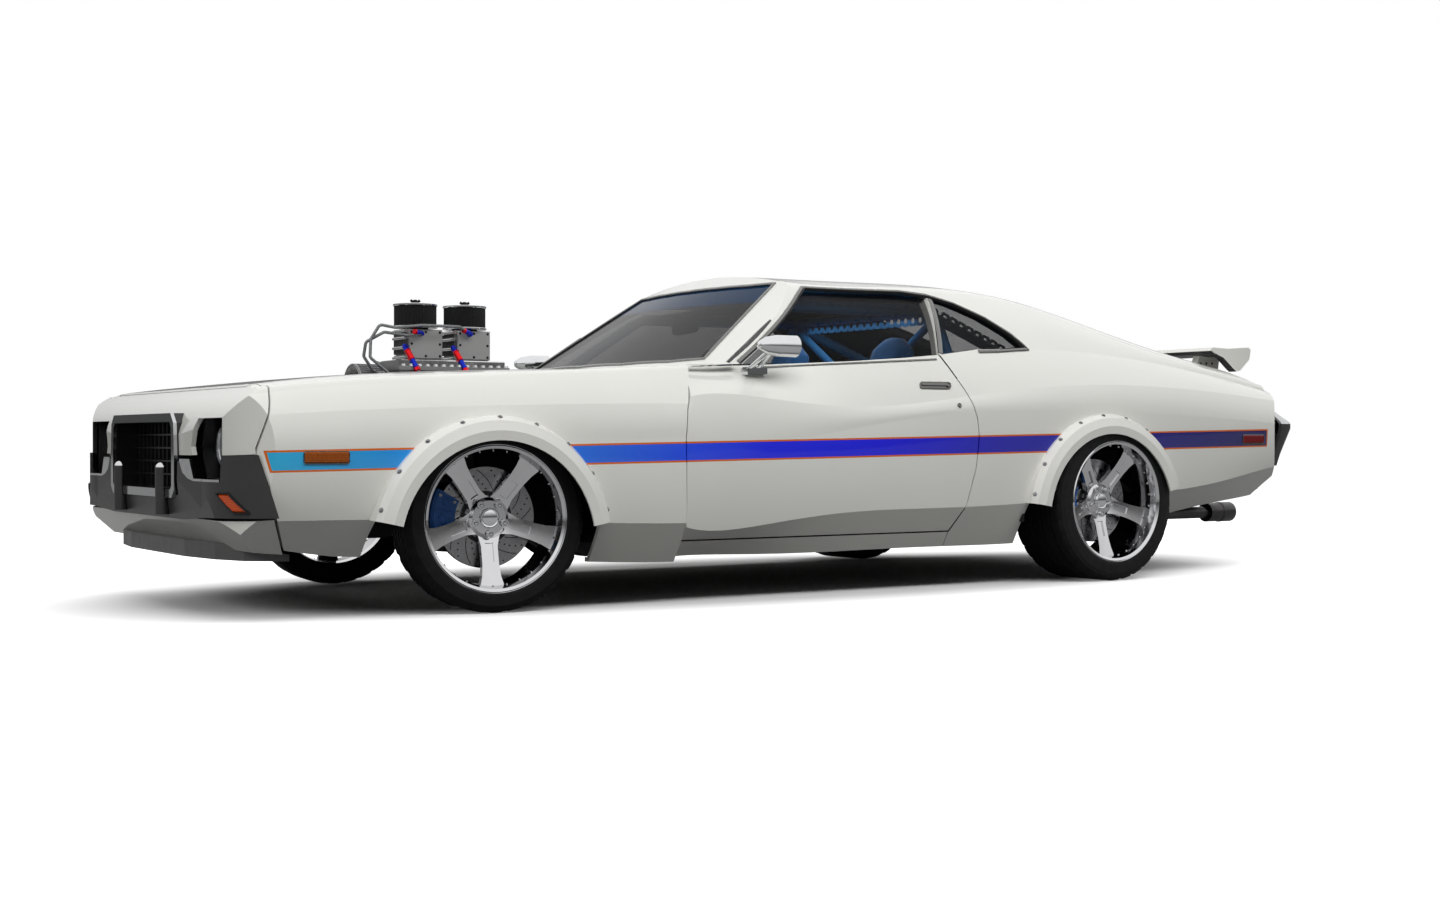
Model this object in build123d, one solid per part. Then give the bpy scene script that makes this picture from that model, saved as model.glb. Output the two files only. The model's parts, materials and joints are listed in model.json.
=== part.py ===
from build123d import *
import math
import os
from collections import namedtuple

# ---------------------------------------------------------------- driving dimensions, mm
WHEELBASE = 2896.0
FRONT_OVERHANG = 1040.0
REAR_OVERHANG = 1264.0
BODY_WIDTH = 2014.0
ROOF_HEIGHT = 1325.0
SKIN = 16.0                # outer panel with its pressed returns
ROOF_WALL = 38.0           # roof skin, rails and headlining
DOOR_WALL = 105.0
GLASS = 5.0
SEAM = 6.0                 # gap round every opening panel
FRONT_TYRE_RADIUS = 334.7
FRONT_TYRE_WIDTH = 200.0
FRONT_LIP_Y = 885.0        # outer rim lip from the centre plane
REAR_TYRE_RADIUS = 346.8
REAR_TYRE_WIDTH = 297.0
REAR_LIP_Y = 1024.0
RIM_LIP_RADIUS = 263.8
STEER_AT_REST = -8.05      # degrees, front wheels turned to the right
FLARE_OUTER_RADIUS = 455.0
FLARE_LIP_RADIUS = 372.0
FLARE_REACH = 1058.0
HOOD_SEAM_Y = 757.0
SCOOP_HALF_WIDTH = 265.0
LID_HALF_WIDTH = 640.0
SEAT_WIDTH = 470.0
SEAT_Y = 385.0
CAGE_TUBE = 44.0
PLATE_SPACING = 177.8      # licence plate screws
PLATE_HOLE_RADIUS = 3.5
RIM_INSET = 5.0            # the rim is this much narrower than its tyre
FRONT_SPOKE_DEPTH = 44.0   # spoke tips, from the outer rim lip
REAR_SPOKE_DEPTH = 56.0
FRONT_HUB_DEPTH = 84.0
REAR_HUB_DEPTH = 98.0
FRONT_DISC_FACE = 122.0
REAR_DISC_FACE = 136.0
TIE_DOWN_RADIUS = 15.0     # holes in the frame horns

NOMINAL_WHEELBASE = 2896.0
NOMINAL_FRONT = 1040.0
NOMINAL_REAR = 1264.0
NOMINAL_WIDTH = 2014.0
NOMINAL_HEIGHT = 1325.0

OVERALL_LENGTH = FRONT_OVERHANG + WHEELBASE + REAR_OVERHANG
FRONT_AXLE_X = OVERALL_LENGTH / 2 - FRONT_OVERHANG
REAR_AXLE_X = FRONT_AXLE_X - WHEELBASE


# ---------------------------------------------------------------- station system
# A station is the distance behind the front axle on the standard body.
def X(station):
    if station < 0:
        return FRONT_AXLE_X - station * FRONT_OVERHANG / NOMINAL_FRONT
    if station <= NOMINAL_WHEELBASE:
        return FRONT_AXLE_X - station * WHEELBASE / NOMINAL_WHEELBASE
    behind = station - NOMINAL_WHEELBASE
    return REAR_AXLE_X - behind * REAR_OVERHANG / NOMINAL_REAR


def Y(y):
    return y * BODY_WIDTH / NOMINAL_WIDTH


def Z(z):
    return z * ROOF_HEIGHT / NOMINAL_HEIGHT


# ---------------------------------------------------------------- solid helpers
def polygon_prism(points, direction):
    return Part() + Solid.extrude(Face(Wire.make_polygon(points)), Vector(*direction))


def side_prism(outline, y_from, y_to):
    """Outline of (station, height) pairs, extruded across the car."""
    points = [(X(s), Y(y_from), Z(z)) for s, z in outline]
    return polygon_prism(points, (0, Y(y_to) - Y(y_from), 0))


def top_prism(outline, z_from, z_to):
    """Outline of (station, half-width) pairs, extruded upwards."""
    points = [(X(s), Y(y), Z(z_from)) for s, y in outline]
    return polygon_prism(points, (0, 0, Z(z_to) - Z(z_from)))


def front_prism(outline, s_from, s_to):
    """Outline of (y, height) pairs, extruded along the car."""
    points = [(X(s_from), Y(y), Z(z)) for y, z in outline]
    return polygon_prism(points, (X(s_to) - X(s_from), 0, 0))


def block(s_from, s_to, y_from, y_to, z_from, z_to):
    return side_prism([(s_from, z_from), (s_to, z_from), (s_to, z_to), (s_from, z_to)],
                      y_from, y_to)


def rod(start, end, radius):
    start = Vector(*start)
    run = Vector(*end) - start
    plane = Plane(origin=start, z_dir=run)
    return Part() + Solid.make_cylinder(radius, run.length, plane)


def rod_s(start, end, radius):
    """Rod between two (station, y, height) points."""
    return rod((X(start[0]), Y(start[1]), Z(start[2])), (X(end[0]), Y(end[1]), Z(end[2])), radius)


def tube_path(points, radius, bend):
    """Round tube through points, with tangent bends."""
    path = FilletPolyline(*[(X(s), Y(y), Z(z)) for s, y, z in points], radius=bend)
    start = path @ 0
    profile = Plane(origin=start, z_dir=path % 0) * Circle(radius)
    return Part() + sweep(profile, path=path)


def lathe(profile, centre, arc=360.0, start=0.0):
    """Turns (radius, offset) pairs about an axis along Y through centre."""
    x, y, z = centre
    points = [(x + r, y + w, z) for r, w in profile]
    face = Face(Wire.make_polygon(points))
    axis = Axis((x, y, z), (0, 1, 0))
    turned = revolve(face, axis, arc)
    if start:
        turned = turned.rotate(axis, start)
    return Part() + turned


def mirrored(part):
    return Part() + part.mirror(Plane.XZ)


def both(part):
    return part + mirrored(part)


# ---------------------------------------------------------------- body sections
Row = namedtuple("Row", "s sill_y sill_z tuck_y tuck_z waist_y waist_z hip_y hip_z "
                        "belt_y belt_z rail_y rail_z crown_z")

FRONT_ROWS = [
    Row(-1060, 800, 262, 905, 352, 960, 555, 948, 678, 900, 738, 790, 766, 764),
    Row(-700, 850, 226, 958, 348, 994, 575, 975, 705, 915, 786, 795, 820, 822),
    Row(-200, 868, 200, 975, 340, 1003, 590, 986, 728, 925, 820, 800, 856, 864),
    Row(300, 880, 172, 982, 318, 1005, 608, 990, 742, 922, 850, 800, 874, 884),
    Row(1000, 885, 169, 985, 320, 1006, 630, 993, 745, 905, 896, 800, 900, 902),
]

CABIN_ROWS = [
    Row(640, 885, 169, 985, 319, 1006, 622, 993, 745, 905, 884, 612, 1236, 1278),
    Row(1450, 888, 170, 985, 328, 1006, 655, 994, 745, 904, 920, 610, 1262, 1318),
    Row(2080, 890, 172, 985, 338, 1005, 728, 986, 793, 894, 982, 610, 1268, 1325),
    Row(2480, 890, 174, 985, 350, 1005, 742, 982, 835, 868, 1003, 612, 1262, 1320),
    Row(2850, 890, 200, 985, 366, 1004, 740, 980, 853, 856, 1000, 632, 1202, 1272),
    Row(3263, 885, 262, 980, 385, 1001, 728, 975, 849, 858, 968, 702, 1087, 1152),
    Row(3700, 875, 325, 970, 436, 995, 708, 965, 824, 866, 908, 770, 982, 1030),
    Row(4130, 860, 398, 955, 492, 985, 682, 950, 788, 862, 832, 800, 868, 900),
]

BULGES = {"tuck": 10.0, "waist": 5.0, "hip": 7.0, "belt": 12.0}
RAIL_DOWN = 55.0
RAIL_IN = 80.0


def half_outline(row):
    return [(0.0, row.sill_z), (row.sill_y, row.sill_z), (row.tuck_y, row.tuck_z),
            (row.waist_y, row.waist_z), (row.hip_y, row.hip_z), (row.belt_y, row.belt_z),
            (row.rail_y, row.rail_z), (0.0, row.crown_z)]


def inset_outline(points, depth):
    """Moves every corner inwards by depth, square to both of its sides."""
    moved = [(0.0, points[0][1] + depth)]
    for before, here, after in zip(points, points[1:], points[2:]):
        sides = []
        for a, b in ((before, here), (here, after)):
            length = math.hypot(b[0] - a[0], b[1] - a[1])
            sides.append((-(b[1] - a[1]) / length, (b[0] - a[0]) / length))
        share = 1 + sides[0][0] * sides[1][0] + sides[0][1] * sides[1][1]
        step_y = depth * (sides[0][0] + sides[1][0]) / share
        step_z = depth * (sides[0][1] + sides[1][1]) / share
        moved.append((here[0] + step_y, here[1] + step_z))
    moved.append((0.0, points[-1][1] - depth))
    return moved


def toward(a, b, distance):
    length = math.hypot(b[0] - a[0], b[1] - a[1])
    return (a[0] + (b[0] - a[0]) * distance / length, a[1] + (b[1] - a[1]) * distance / length)


def bulged(a, b, bulge):
    length = math.hypot(b[0] - a[0], b[1] - a[1])
    return ((a[0] + b[0]) / 2 + (b[1] - a[1]) / length * bulge,
            (a[1] + b[1]) / 2 - (b[0] - a[0]) / length * bulge)


def section_wire(row, depth):
    points = half_outline(row)
    if depth:
        points = inset_outline(points, depth)
    base, sill, tuck, waist, hip, belt, rail, crown = points
    rail_low = toward(rail, belt, RAIL_DOWN)
    rail_high = toward(rail, crown, RAIL_IN)
    corner = ((rail_low[0] + rail_high[0]) / 4 + rail[0] / 2,
              (rail_low[1] + rail_high[1]) / 4 + rail[1] / 2)
    x = X(row.s)

    def at(p, side):
        return (x, side * Y(p[0]), Z(p[1]))

    half = [(sill, tuck, None),
            (tuck, waist, bulged(tuck, waist, BULGES["tuck"])),
            (waist, hip, bulged(waist, hip, BULGES["waist"])),
            (hip, belt, bulged(hip, belt, BULGES["hip"])),
            (belt, rail_low, bulged(belt, rail_low, BULGES["belt"])),
            (rail_low, rail_high, corner)]
    edges = [Edge.make_line(at(sill, -1), at(sill, 1))]
    for a, b, middle in half:
        if middle is None:
            edges.append(Edge.make_line(at(a, 1), at(b, 1)))
        else:
            edges.append(Edge.make_three_point_arc(at(a, 1), at(middle, 1), at(b, 1)))
    edges.append(Edge.make_three_point_arc(at(rail_high, 1), at(crown, 1), at(rail_high, -1)))
    for a, b, middle in reversed(half):
        if middle is None:
            edges.append(Edge.make_line(at(b, -1), at(a, -1)))
        else:
            edges.append(Edge.make_three_point_arc(at(b, -1), at(middle, -1), at(a, -1)))
    return Wire(edges)


def body_loft(rows, depth=0.0):
    return Part() + Solid.make_loft([section_wire(row, depth) for row in rows])


def arc_face(points, to_3d):
    """Face bounded by lines and arcs: (a, b) ends a line, (a, b, mid_a, mid_b) ends an arc."""
    edges = []
    for here, after in zip(points, points[1:] + points[:1]):
        start, end = to_3d(*here[:2]), to_3d(*after[:2])
        if len(after) == 2:
            edges.append(Edge.make_line(start, end))
        else:
            edges.append(Edge.make_three_point_arc(start, to_3d(*after[2:]), end))
    return Face(Wire(edges))


def plan_prism(depth):
    """Room inside the body's outline from above, drawn in by depth at both ends."""
    d = depth
    points = [(-800 + d, 1030), (-990 + d, 640, -953 + d, 868), (-990 + d, -640, -1003 + d, 0),
              (-800 + d, -1030, -953 + d, -868), (3890 - d, -1030), (4070 - d, -800, 4022 - d, -940),
              (4070 - d, 800, 4084 - d, 0), (3890 - d, 1030, 4022 - d, 940)]
    face = arc_face(points, lambda s, y: (X(s), Y(y), 0))
    return Part() + Solid.extrude(face, Vector(0, 0, Z(1500)))


def profile_prism(depth):
    """Room between the nose and the tail in side view, drawn in by depth."""
    d = depth
    points = [(-1003 + d, 560), (-850 + 0.3 * d, 806 - d, -970 + 0.9 * d, 703 - 0.5 * d), (-850, 1500),
              (3960, 1500), (4000 - 0.4 * d, 960 - d), (4062 - d, 815 - 0.4 * d), (4062 - d, 740),
              (4078 - d, 600), (4060 - d, 470 + 0.5 * d), (3950 - d, 360 + 0.5 * d), (3900, 100),
              (-850, 100), (-872 + d, 225 + 0.5 * d), (-985 + d, 345 + 0.5 * d), (-1003 + d, 430)]
    face = arc_face(points, lambda s, z: (X(s), -1300, Z(z)))
    return Part() + Solid.extrude(face, Vector(0, 2600, 0))


# windscreen surface: an arc in plan swept back up the rake
SCREEN_RADIUS = 1924.0
SCREEN_FOOT = 800.0
SCREEN_FOOT_Z = 915.0
SCREEN_RAKE = 1.6          # run for each unit of rise


def screen_solid(shift):
    """Everything behind the windscreen surface, moved back by shift."""
    low = 700.0
    high = 1500.0
    foot = SCREEN_FOOT + shift + (low - SCREEN_FOOT_Z) * SCREEN_RAKE
    half = 1200.0
    sag = SCREEN_RADIUS - math.sqrt(SCREEN_RADIUS ** 2 - half ** 2)
    far = foot + 5000.0
    start = (X(foot + sag), Y(half), Z(low))
    middle = (X(foot), 0, Z(low))
    end = (X(foot + sag), -Y(half), Z(low))
    front = Edge.make_three_point_arc(start, middle, end)
    back = [Edge.make_line(end, (X(far), -Y(half), Z(low))),
            Edge.make_line((X(far), -Y(half), Z(low)), (X(far), Y(half), Z(low))),
            Edge.make_line((X(far), Y(half), Z(low)), start)]
    face = Face(Wire([front] + back))
    rise = Vector(X((high - low) * SCREEN_RAKE) - X(0), 0, Z(high - low))
    return Part() + Solid.extrude(face, rise)


# ---------------------------------------------------------------- outlines in side view
DOOR_OUTLINE = [(713, 240), (695, 464), (691, 612), (704, 724), (735, 817), (768, 889),
                (805, 891), (1094, 903), (1531, 927), (1800, 947), (1985, 964),
                (2075, 800), (2110, 700), (2118, 629), (2105, 500), (2067, 345), (2019, 240)]
WINDOW_OUTLINE = [(1022, 900), (1094, 903), (1531, 927), (1800, 947), (1985, 964), (2219, 994),
                  (2440, 1003), (2500, 1010), (2455, 1060), (2360, 1130), (2240, 1190),
                  (2130, 1222), (2000, 1234), (1500, 1228), (1440, 1190)]


def grown(outline, margin):
    """Outline grown outwards by margin, corner by corner."""
    area = 0.0
    for (x0, z0), (x1, z1) in zip(outline, outline[1:] + outline[:1]):
        area += x0 * z1 - x1 * z0
    turn = 1.0 if area > 0 else -1.0
    count = len(outline)
    moved = []
    for i in range(count):
        before, here, after = outline[i - 1], outline[i], outline[(i + 1) % count]
        normals = []
        for a, b in ((before, here), (here, after)):
            length = math.hypot(b[0] - a[0], b[1] - a[1])
            normals.append(((b[1] - a[1]) / length * turn, -(b[0] - a[0]) / length * turn))
        share = 1 + normals[0][0] * normals[1][0] + normals[0][1] * normals[1][1]
        moved.append((here[0] + margin * (normals[0][0] + normals[1][0]) / share,
                      here[1] + margin * (normals[0][1] + normals[1][1]) / share))
    return moved


# ---------------------------------------------------------------- the body volumes
front_outer = body_loft(FRONT_ROWS) & plan_prism(0) & profile_prism(0)
front_inner = body_loft(FRONT_ROWS, SKIN) & plan_prism(SKIN) & profile_prism(SKIN)
cabin_outer = body_loft(CABIN_ROWS) & plan_prism(0) & profile_prism(0)
cabin_inner = body_loft(CABIN_ROWS, ROOF_WALL) & plan_prism(SKIN) & profile_prism(SKIN)
cabin_core = body_loft(CABIN_ROWS, DOOR_WALL)

front_shell = front_outer - front_inner
cabin_closed = cabin_outer & screen_solid(0)
roof_shell = cabin_closed - (cabin_inner & screen_solid(ROOF_WALL))
rear_zone = top_prism([(1900, -1200), (4300, -1200), (4300, 1200), (1900, 1200)], 0, 1200)
rear_shell = (cabin_outer & rear_zone) - cabin_inner


nodes = {}


def put(name, part):
    nodes[name] = part


# ---------------------------------------------------------------- wheel arches
FRONT_ARCH_S = -90.0
FRONT_ARCH_Z = 240.0
REAR_ARCH_S = 2850.0
REAR_ARCH_Z = 268.0
ARCH_CUT_RADIUS = 436.0


def arch_space(s, z, radius, y_from, y_to):
    """Round-topped space over a wheel, open down to the ground."""
    x = X(s)
    top = rod((x, y_from, Z(z)), (x, y_to, Z(z)), radius)
    low = Part() + Solid.make_box(2 * radius, y_to - y_from, Z(z), Plane(origin=(x - radius, y_from, 0)))
    return top + low


def rear_wheel_space(y_from, y_to, margin):
    """Arch opening joined with the room that the rear tyre needs."""
    x, y, z = REAR_CENTRE
    arch = arch_space(REAR_ARCH_S, REAR_ARCH_Z, ARCH_CUT_RADIUS + margin, y_from, y_to)
    return arch + rod((x, y_from, z), (x, y_to, z), REAR_TYRE_RADIUS + 12 + margin)


# ---------------------------------------------------------------- front panels
def front_fenders():
    region = side_prism([(707, 140), (707, 240), (689, 464), (685, 612), (698, 724), (729, 817),
                         (762, 889), (762, 1000), (-850, 1000), (-854, 783), (-908, 585),
                         (-910, 566), (-850, 360), (-735, 140)], -1300, 1300)
    skins = (front_shell & region) - block(-1200, 900, -HOOD_SEAM_Y, HOOD_SEAM_Y, 0, 1200)
    skins = skins - block(-1200, 900, -855, 855, 0, 420)
    return skins - both(arch_space(FRONT_ARCH_S, FRONT_ARCH_Z, ARCH_CUT_RADIUS, 550, 1300))


LAMP_OPENING = [(520, 590), (552, 686), (800, 686), (800, 484), (574, 484)]
GRILLE_OUTLINE = [(-396, 440), (-366, 412), (366, 412), (396, 440), (398, 560), (390, 672),
                  (356, 706), (-356, 706), (-390, 672), (-398, 560)]
GRILLE_RIM = 30.0          # width of the bright surround
MESH_PITCH_Y = 50.0
MESH_PITCH_Z = 48.0
MESH_BAR = 3.0             # half the thickness of a mesh bar


def nose_panel():
    region = side_prism([(-1200, 548), (-912, 566), (-914, 585), (-860, 783), (-856, 1000),
                         (-1200, 1000)], -1300, 1300)
    panel = (front_shell & region) - block(-886, 0, -HOOD_SEAM_Y - SEAM, HOOD_SEAM_Y + SEAM, 640, 1000)
    panel = panel - front_prism(GRILLE_OUTLINE, -1200, -900)
    return panel - both(front_prism(LAMP_OPENING, -1200, -900))


def grille():
    """Bright surround with a deep tunnel and an egg-crate mesh at its back."""
    surround = front_prism(GRILLE_OUTLINE, -1016, -900)
    surround = surround - front_prism(grown(GRILLE_OUTLINE, -GRILLE_RIM), -1100, -1000)
    surround = surround - front_prism(grown(GRILLE_OUTLINE, -14), -1001, -800)
    hole = front_prism(grown(GRILLE_OUTLINE, -10), -925, -905)
    bars = None
    for i in range(-7, 8):
        bar = block(-921, -907, i * MESH_PITCH_Y - MESH_BAR, i * MESH_PITCH_Y + MESH_BAR, 400, 720)
        bars = bar if bars is None else bars + bar
    for i in range(6):
        z = 440 + i * MESH_PITCH_Z
        bars = bars + block(-921, -907, -400, 400, z - MESH_BAR, z + MESH_BAR)
    return surround + (bars & hole)


LAMP_Z = 592.0
LAMP_RADIUS = 70.0


def headlamps():
    """Dark recess behind each opening, with two round lamps in it."""
    wall = front_prism(grown(LAMP_OPENING, 10), -955, -872) - front_prism(LAMP_OPENING, -1000, -884)
    part = wall & front_inner
    for y in (606, 740):
        part = part + rod_s((-884, y, LAMP_Z), (-908, y, LAMP_Z), LAMP_RADIUS)
    return both(part & front_prism(grown(LAMP_OPENING, 10), -1000, -800))


BUMPER_STANDOFF = 15.0
GUARD_Y = 261.0
GUARD_RADIUS = 24.0
BUMPER_FACE = [(1060, 566), (812, 562), (806, 474), (574, 474), (520, 482), (468, 502), (436, 540),
               (418, 540), (410, 424), (300, 420)]


def bumper_band(z_from, z_to):
    """Band that follows the nose from above and leans back below."""
    points = [(-780, 1040), (-1000, 650, -958, 880), (-1000, -650, -1003 - BUMPER_STANDOFF, 0),
              (-780, -1040, -958, -880)]
    face = arc_face(points, lambda s, y: (X(s), Y(y), Z(z_from)))
    band = Part() + Solid.extrude(face, Vector(0, 0, Z(z_to) - Z(z_from)))
    lean = [(-1300, 620), (-1018, 620), (-1016, 520), (-994, 330), (-1300, 330)]
    band = band - side_prism(lean, -1300, 1300)
    return band & side_prism([(-1200, 300), (-842, 300), (-918, 600), (-1200, 600)], -1300, 1300)


def front_bumper():
    left = BUMPER_FACE + [(-y, z) for y, z in reversed(BUMPER_FACE)]
    face = left + [(-1060, 360), (-700, 354), (-420, 340), (420, 340), (700, 354), (1060, 360)]
    part = (bumper_band(330, 600) & front_prism(face, -1200, -700)) - front_outer
    for side in (-1, 1):
        y = GUARD_Y * side
        part = part + rod_s((-1016, y, 352), (-1016, y, 512), GUARD_RADIUS)
        tip = Part() + Solid.make_sphere(GUARD_RADIUS, Plane(origin=(X(-1016), Y(y), Z(512))))
        part = part + tip
    return part - front_prism(grown(GRILLE_OUTLINE, 1), -1017.5, -900) - front_outer


def bumper_trim():
    """Bright wings between the grille and the lamp recesses, with a lip under the lamps."""
    wing = [(436, 548), (534, 548), (574, 482), (800, 482), (800, 474), (574, 474), (520, 482),
            (468, 502), (436, 540)]
    part = bumper_band(330, 600) & front_prism(wing, -1200, -800)
    return both(part - front_outer)


def front_valance():
    region = side_prism([(-1200, 140), (-741, 140), (-856, 352), (-1200, 336)], -1300, 1300)
    return (front_shell & region) - block(-865, -500, -740, 740, 0, 500)


def splitter():
    outline = [(-960, 0), (-958, 330), (-925, 560), (-872, 700), (-752, 800), (-752, 690),
               (-850, 600), (-860, 0)]
    right = [(s, -y) for s, y in reversed(outline) if y > 0]
    return top_prism(outline + right, 206, 264) - front_outer


# ---------------------------------------------------------------- hood and cowl
SCOOP_FRONT = -252.0
SCOOP_REAR = 452.0
HOOD_REAR = 738.0


def hood():
    y = HOOD_SEAM_Y - SEAM
    region = block(-880, HOOD_REAR, -y, y, 640, 1000)
    hole = block(SCOOP_FRONT, SCOOP_REAR, -SCOOP_HALF_WIDTH, SCOOP_HALF_WIDTH, 600, 1000)
    return (front_shell & region) - hole


def firewall():
    cowl = block(HOOD_REAR + SEAM, 1000, -HOOD_SEAM_Y, HOOD_SEAM_Y, 800, 1000)
    top = front_shell & (cowl + block(762, 1000, -900, 900, 800, 1000))
    top = top - both(side_prism(grown(DOOR_OUTLINE, SEAM), 700, 1300))
    top = top - screen_solid(-0.2)
    wall = block(520, 536, -760, 760, 220, 800) - block(500, 560, -142, 142, 200, 402)
    shelf = block(536, 760, -740, 740, 784, 800)
    riser = block(748, 760, -740, 740, 800, 900) & front_inner
    kick = both(block(536, 704, 748, 760, 240, 784))
    notch = both(block(500, 560, 402, 478, 200, 250))
    return (wall - notch) + shelf + riser + kick + top


# ---------------------------------------------------------------- cabin shell parts
DIVIDER_LOW = (1990, 964)
DIVIDER_HIGH = (2136, 1236)
DIVIDER_WIDTH = 20.0


def divider_region(front):
    """Everything in front of the divider bar, or behind it."""
    lean = (DIVIDER_HIGH[0] - DIVIDER_LOW[0]) / (DIVIDER_HIGH[1] - DIVIDER_LOW[1])
    shift = 0.0 if front else DIVIDER_WIDTH
    low = DIVIDER_LOW[0] + shift - (DIVIDER_LOW[1] - 800) * lean
    high = DIVIDER_LOW[0] + shift + (1400 - DIVIDER_LOW[1]) * lean
    far = 600 if front else 3400
    return side_prism([(low, 800), (high, 1400), (far, 1400), (far, 800)], -1300, 1300)


def screen_outline(margin):
    """Windscreen opening in (y, distance up the rake), as three dimensional corners."""
    flat = [(0, 12), (300, 34), (560, 92), (702, 148), (526, 702), (400, 672), (200, 648), (0, 640),
            (-200, 648), (-400, 672), (-526, 702), (-702, 148), (-560, 92), (-300, 34)]
    flat = grown(flat, margin)
    run = math.hypot(SCREEN_RAKE, 1.0)
    corners = []
    for y, v in flat:
        s = SCREEN_FOOT + v * SCREEN_RAKE / run
        z = SCREEN_FOOT_Z + v / run
        back = 420.0
        corners.append((X(s + back / run), Y(y), Z(z - back * SCREEN_RAKE / run)))
    return corners


def screen_opening(margin=0.0):
    run = math.hypot(SCREEN_RAKE, 1.0)
    reach = 840.0
    direction = (X(-reach / run) - X(0), 0, Z(reach * SCREEN_RAKE / run))
    return polygon_prism(screen_outline(margin), direction)


REAR_GLASS = [(2722, 500), (2760, 535), (3400, 590), (3452, 560), (3462, 0)]


def rear_glass_prism(margin=0.0):
    outline = REAR_GLASS + [(s, -y) for s, y in reversed(REAR_GLASS) if y > 0]
    outline = outline + [(2710, -300), (2706, 0), (2710, 300)]
    return top_prism(grown(outline, margin), 700, 1500)


QUARTER_TOP = [(1996, 962), (2219, 980), (2500, 1000), (3560, 935)]


def roof():
    region = side_prism([(700, 884), (805, 891), (1094, 903), (1531, 927), (1800, 947)]
                        + QUARTER_TOP + [(3560, 1500), (700, 1500)], -1300, 1300)
    frame = roof_shell & region
    window = side_prism(WINDOW_OUTLINE, -1300, 1300)
    window = window - block(500, 3000, -350, 350, 0, 1500)
    frame = frame - both(side_prism(grown(DOOR_OUTLINE, SEAM), 700, 1300))
    frame = frame - (window & divider_region(True)) - (window & divider_region(False))
    return frame - screen_opening() - rear_glass_prism()


def windscreen():
    pane = screen_solid(8) - screen_solid(8 + GLASS)
    return pane & screen_opening() & cabin_closed


def rear_window():
    pane = body_loft(CABIN_ROWS, 8) - body_loft(CABIN_ROWS, 8 + GLASS)
    return pane & rear_glass_prism() & block(2600, 3600, -800, 800, 900, 1400)


side_pane = body_loft(CABIN_ROWS, 9) - body_loft(CABIN_ROWS, 9 + GLASS)


def quarter_glass():
    window = side_prism(WINDOW_OUTLINE, -1300, 1300) - block(500, 3000, -350, 350, 0, 1500)
    return side_pane & window & divider_region(False)


def door_glass():
    shrunk = grown(WINDOW_OUTLINE, -SEAM)
    outline = [(s, z - SEAM) if i < 7 else (s, z) for i, (s, z) in enumerate(shrunk)]
    window = side_prism(outline, 400, 1300)
    lean = (DIVIDER_HIGH[0] - DIVIDER_LOW[0]) / (DIVIDER_HIGH[1] - DIVIDER_LOW[1])
    low = DIVIDER_LOW[0] - SEAM - (DIVIDER_LOW[1] - 800) * lean
    high = DIVIDER_LOW[0] - SEAM + (1400 - DIVIDER_LOW[1]) * lean
    ahead = side_prism([(low, 800), (high, 1400), (600, 1400), (600, 800)], 400, 1300)
    return side_pane & window & ahead


def door():
    slab = cabin_outer & side_prism(DOOR_OUTLINE, 700, 1300)
    return slab - cabin_core - block(600, 2200, 0, 782, 0, 1000)


def quarter_panels():
    region = side_prism([(2025, 140), (2025, 234), (2073, 345), (2111, 500), (2124, 629),
                         (2116, 700), (2081, 800)] + QUARTER_TOP
                        + [(3560, 1500), (4036, 1500), (4036, 140)], -1300, 1300)
    panels = rear_shell & region
    panels = panels - block(1900, 4200, -858, 858, 0, 640)
    panels = panels - block(1900, 3560, -700, 700, 0, 1100)
    half = LID_HALF_WIDTH + SEAM
    panels = panels - block(3560, 4200, -half, half, 0, 1200)
    return panels - both(rear_wheel_space(550, 1300, 0))


LID_EDGE_LEAN = 0.42       # the lid's rear edge leans back with height, so that it swings clear


def lid_edge(gap):
    """Region in front of the lid's rear edge, grown by gap."""
    low = 4030 + gap - (940 - 700) * LID_EDGE_LEAN
    high = 4030 + gap + (1200 - 940) * LID_EDGE_LEAN
    return side_prism([(3400, 700), (low, 700), (high, 1200), (3400, 1200)], -LID_HALF_WIDTH - gap,
                      LID_HALF_WIDTH + gap)


def plate_screws():
    rods = None
    for side in (-1, 1):
        y = side * PLATE_SPACING / 2
        one = rod((X(4200), y, Z(PLATE_Z)), (X(4040), y, Z(PLATE_Z)), PLATE_HOLE_RADIUS)
        rods = one if rods is None else rods + one
    return rods


def tail_panel():
    wall = rear_shell & block(4036, 4200, -1100, 1100, 300, 1100)
    half = LID_HALF_WIDTH + SEAM
    lip = (rear_shell & block(3900, 4036, -half, half, 800, 1100)) - lid_edge(SEAM)
    return (wall + lip) - lid_edge(SEAM) - plate_screws()


def deck_lid():
    half = LID_HALF_WIDTH
    return rear_shell & block(3566, 4100, -half, half, 820, 1200) & lid_edge(0)


def rockers():
    sill = cabin_outer & block(707, 2019, -1100, 1100, 100, 234)
    return sill - block(-1300, 4400, -762, 762, 0, 1500)


# ---------------------------------------------------------------- floor and chassis
def floor_pan():
    floor = side_prism([(536, 220), (2350, 220), (2530, 450), (3250, 450), (3330, 380),
                        (4020, 380), (4020, 400), (3336, 400), (3256, 470), (2520, 470),
                        (2340, 240), (536, 240)], -690, 690)
    wide = block(536, 2330, -762, 762, 220, 240)
    boot = block(3336, 4020, -850, 850, 380, 400)
    tunnel = block(536, 2475, -140, 140, 240, 400)
    hollow = block(500, 2600, -124, 124, 0, 384)
    bulkhead = block(2850, 2862, -690, 690, 470, 872) + block(2862, 3500, -690, 690, 860, 872)
    return (floor + wide + boot + tunnel + bulkhead) - hollow


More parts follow.
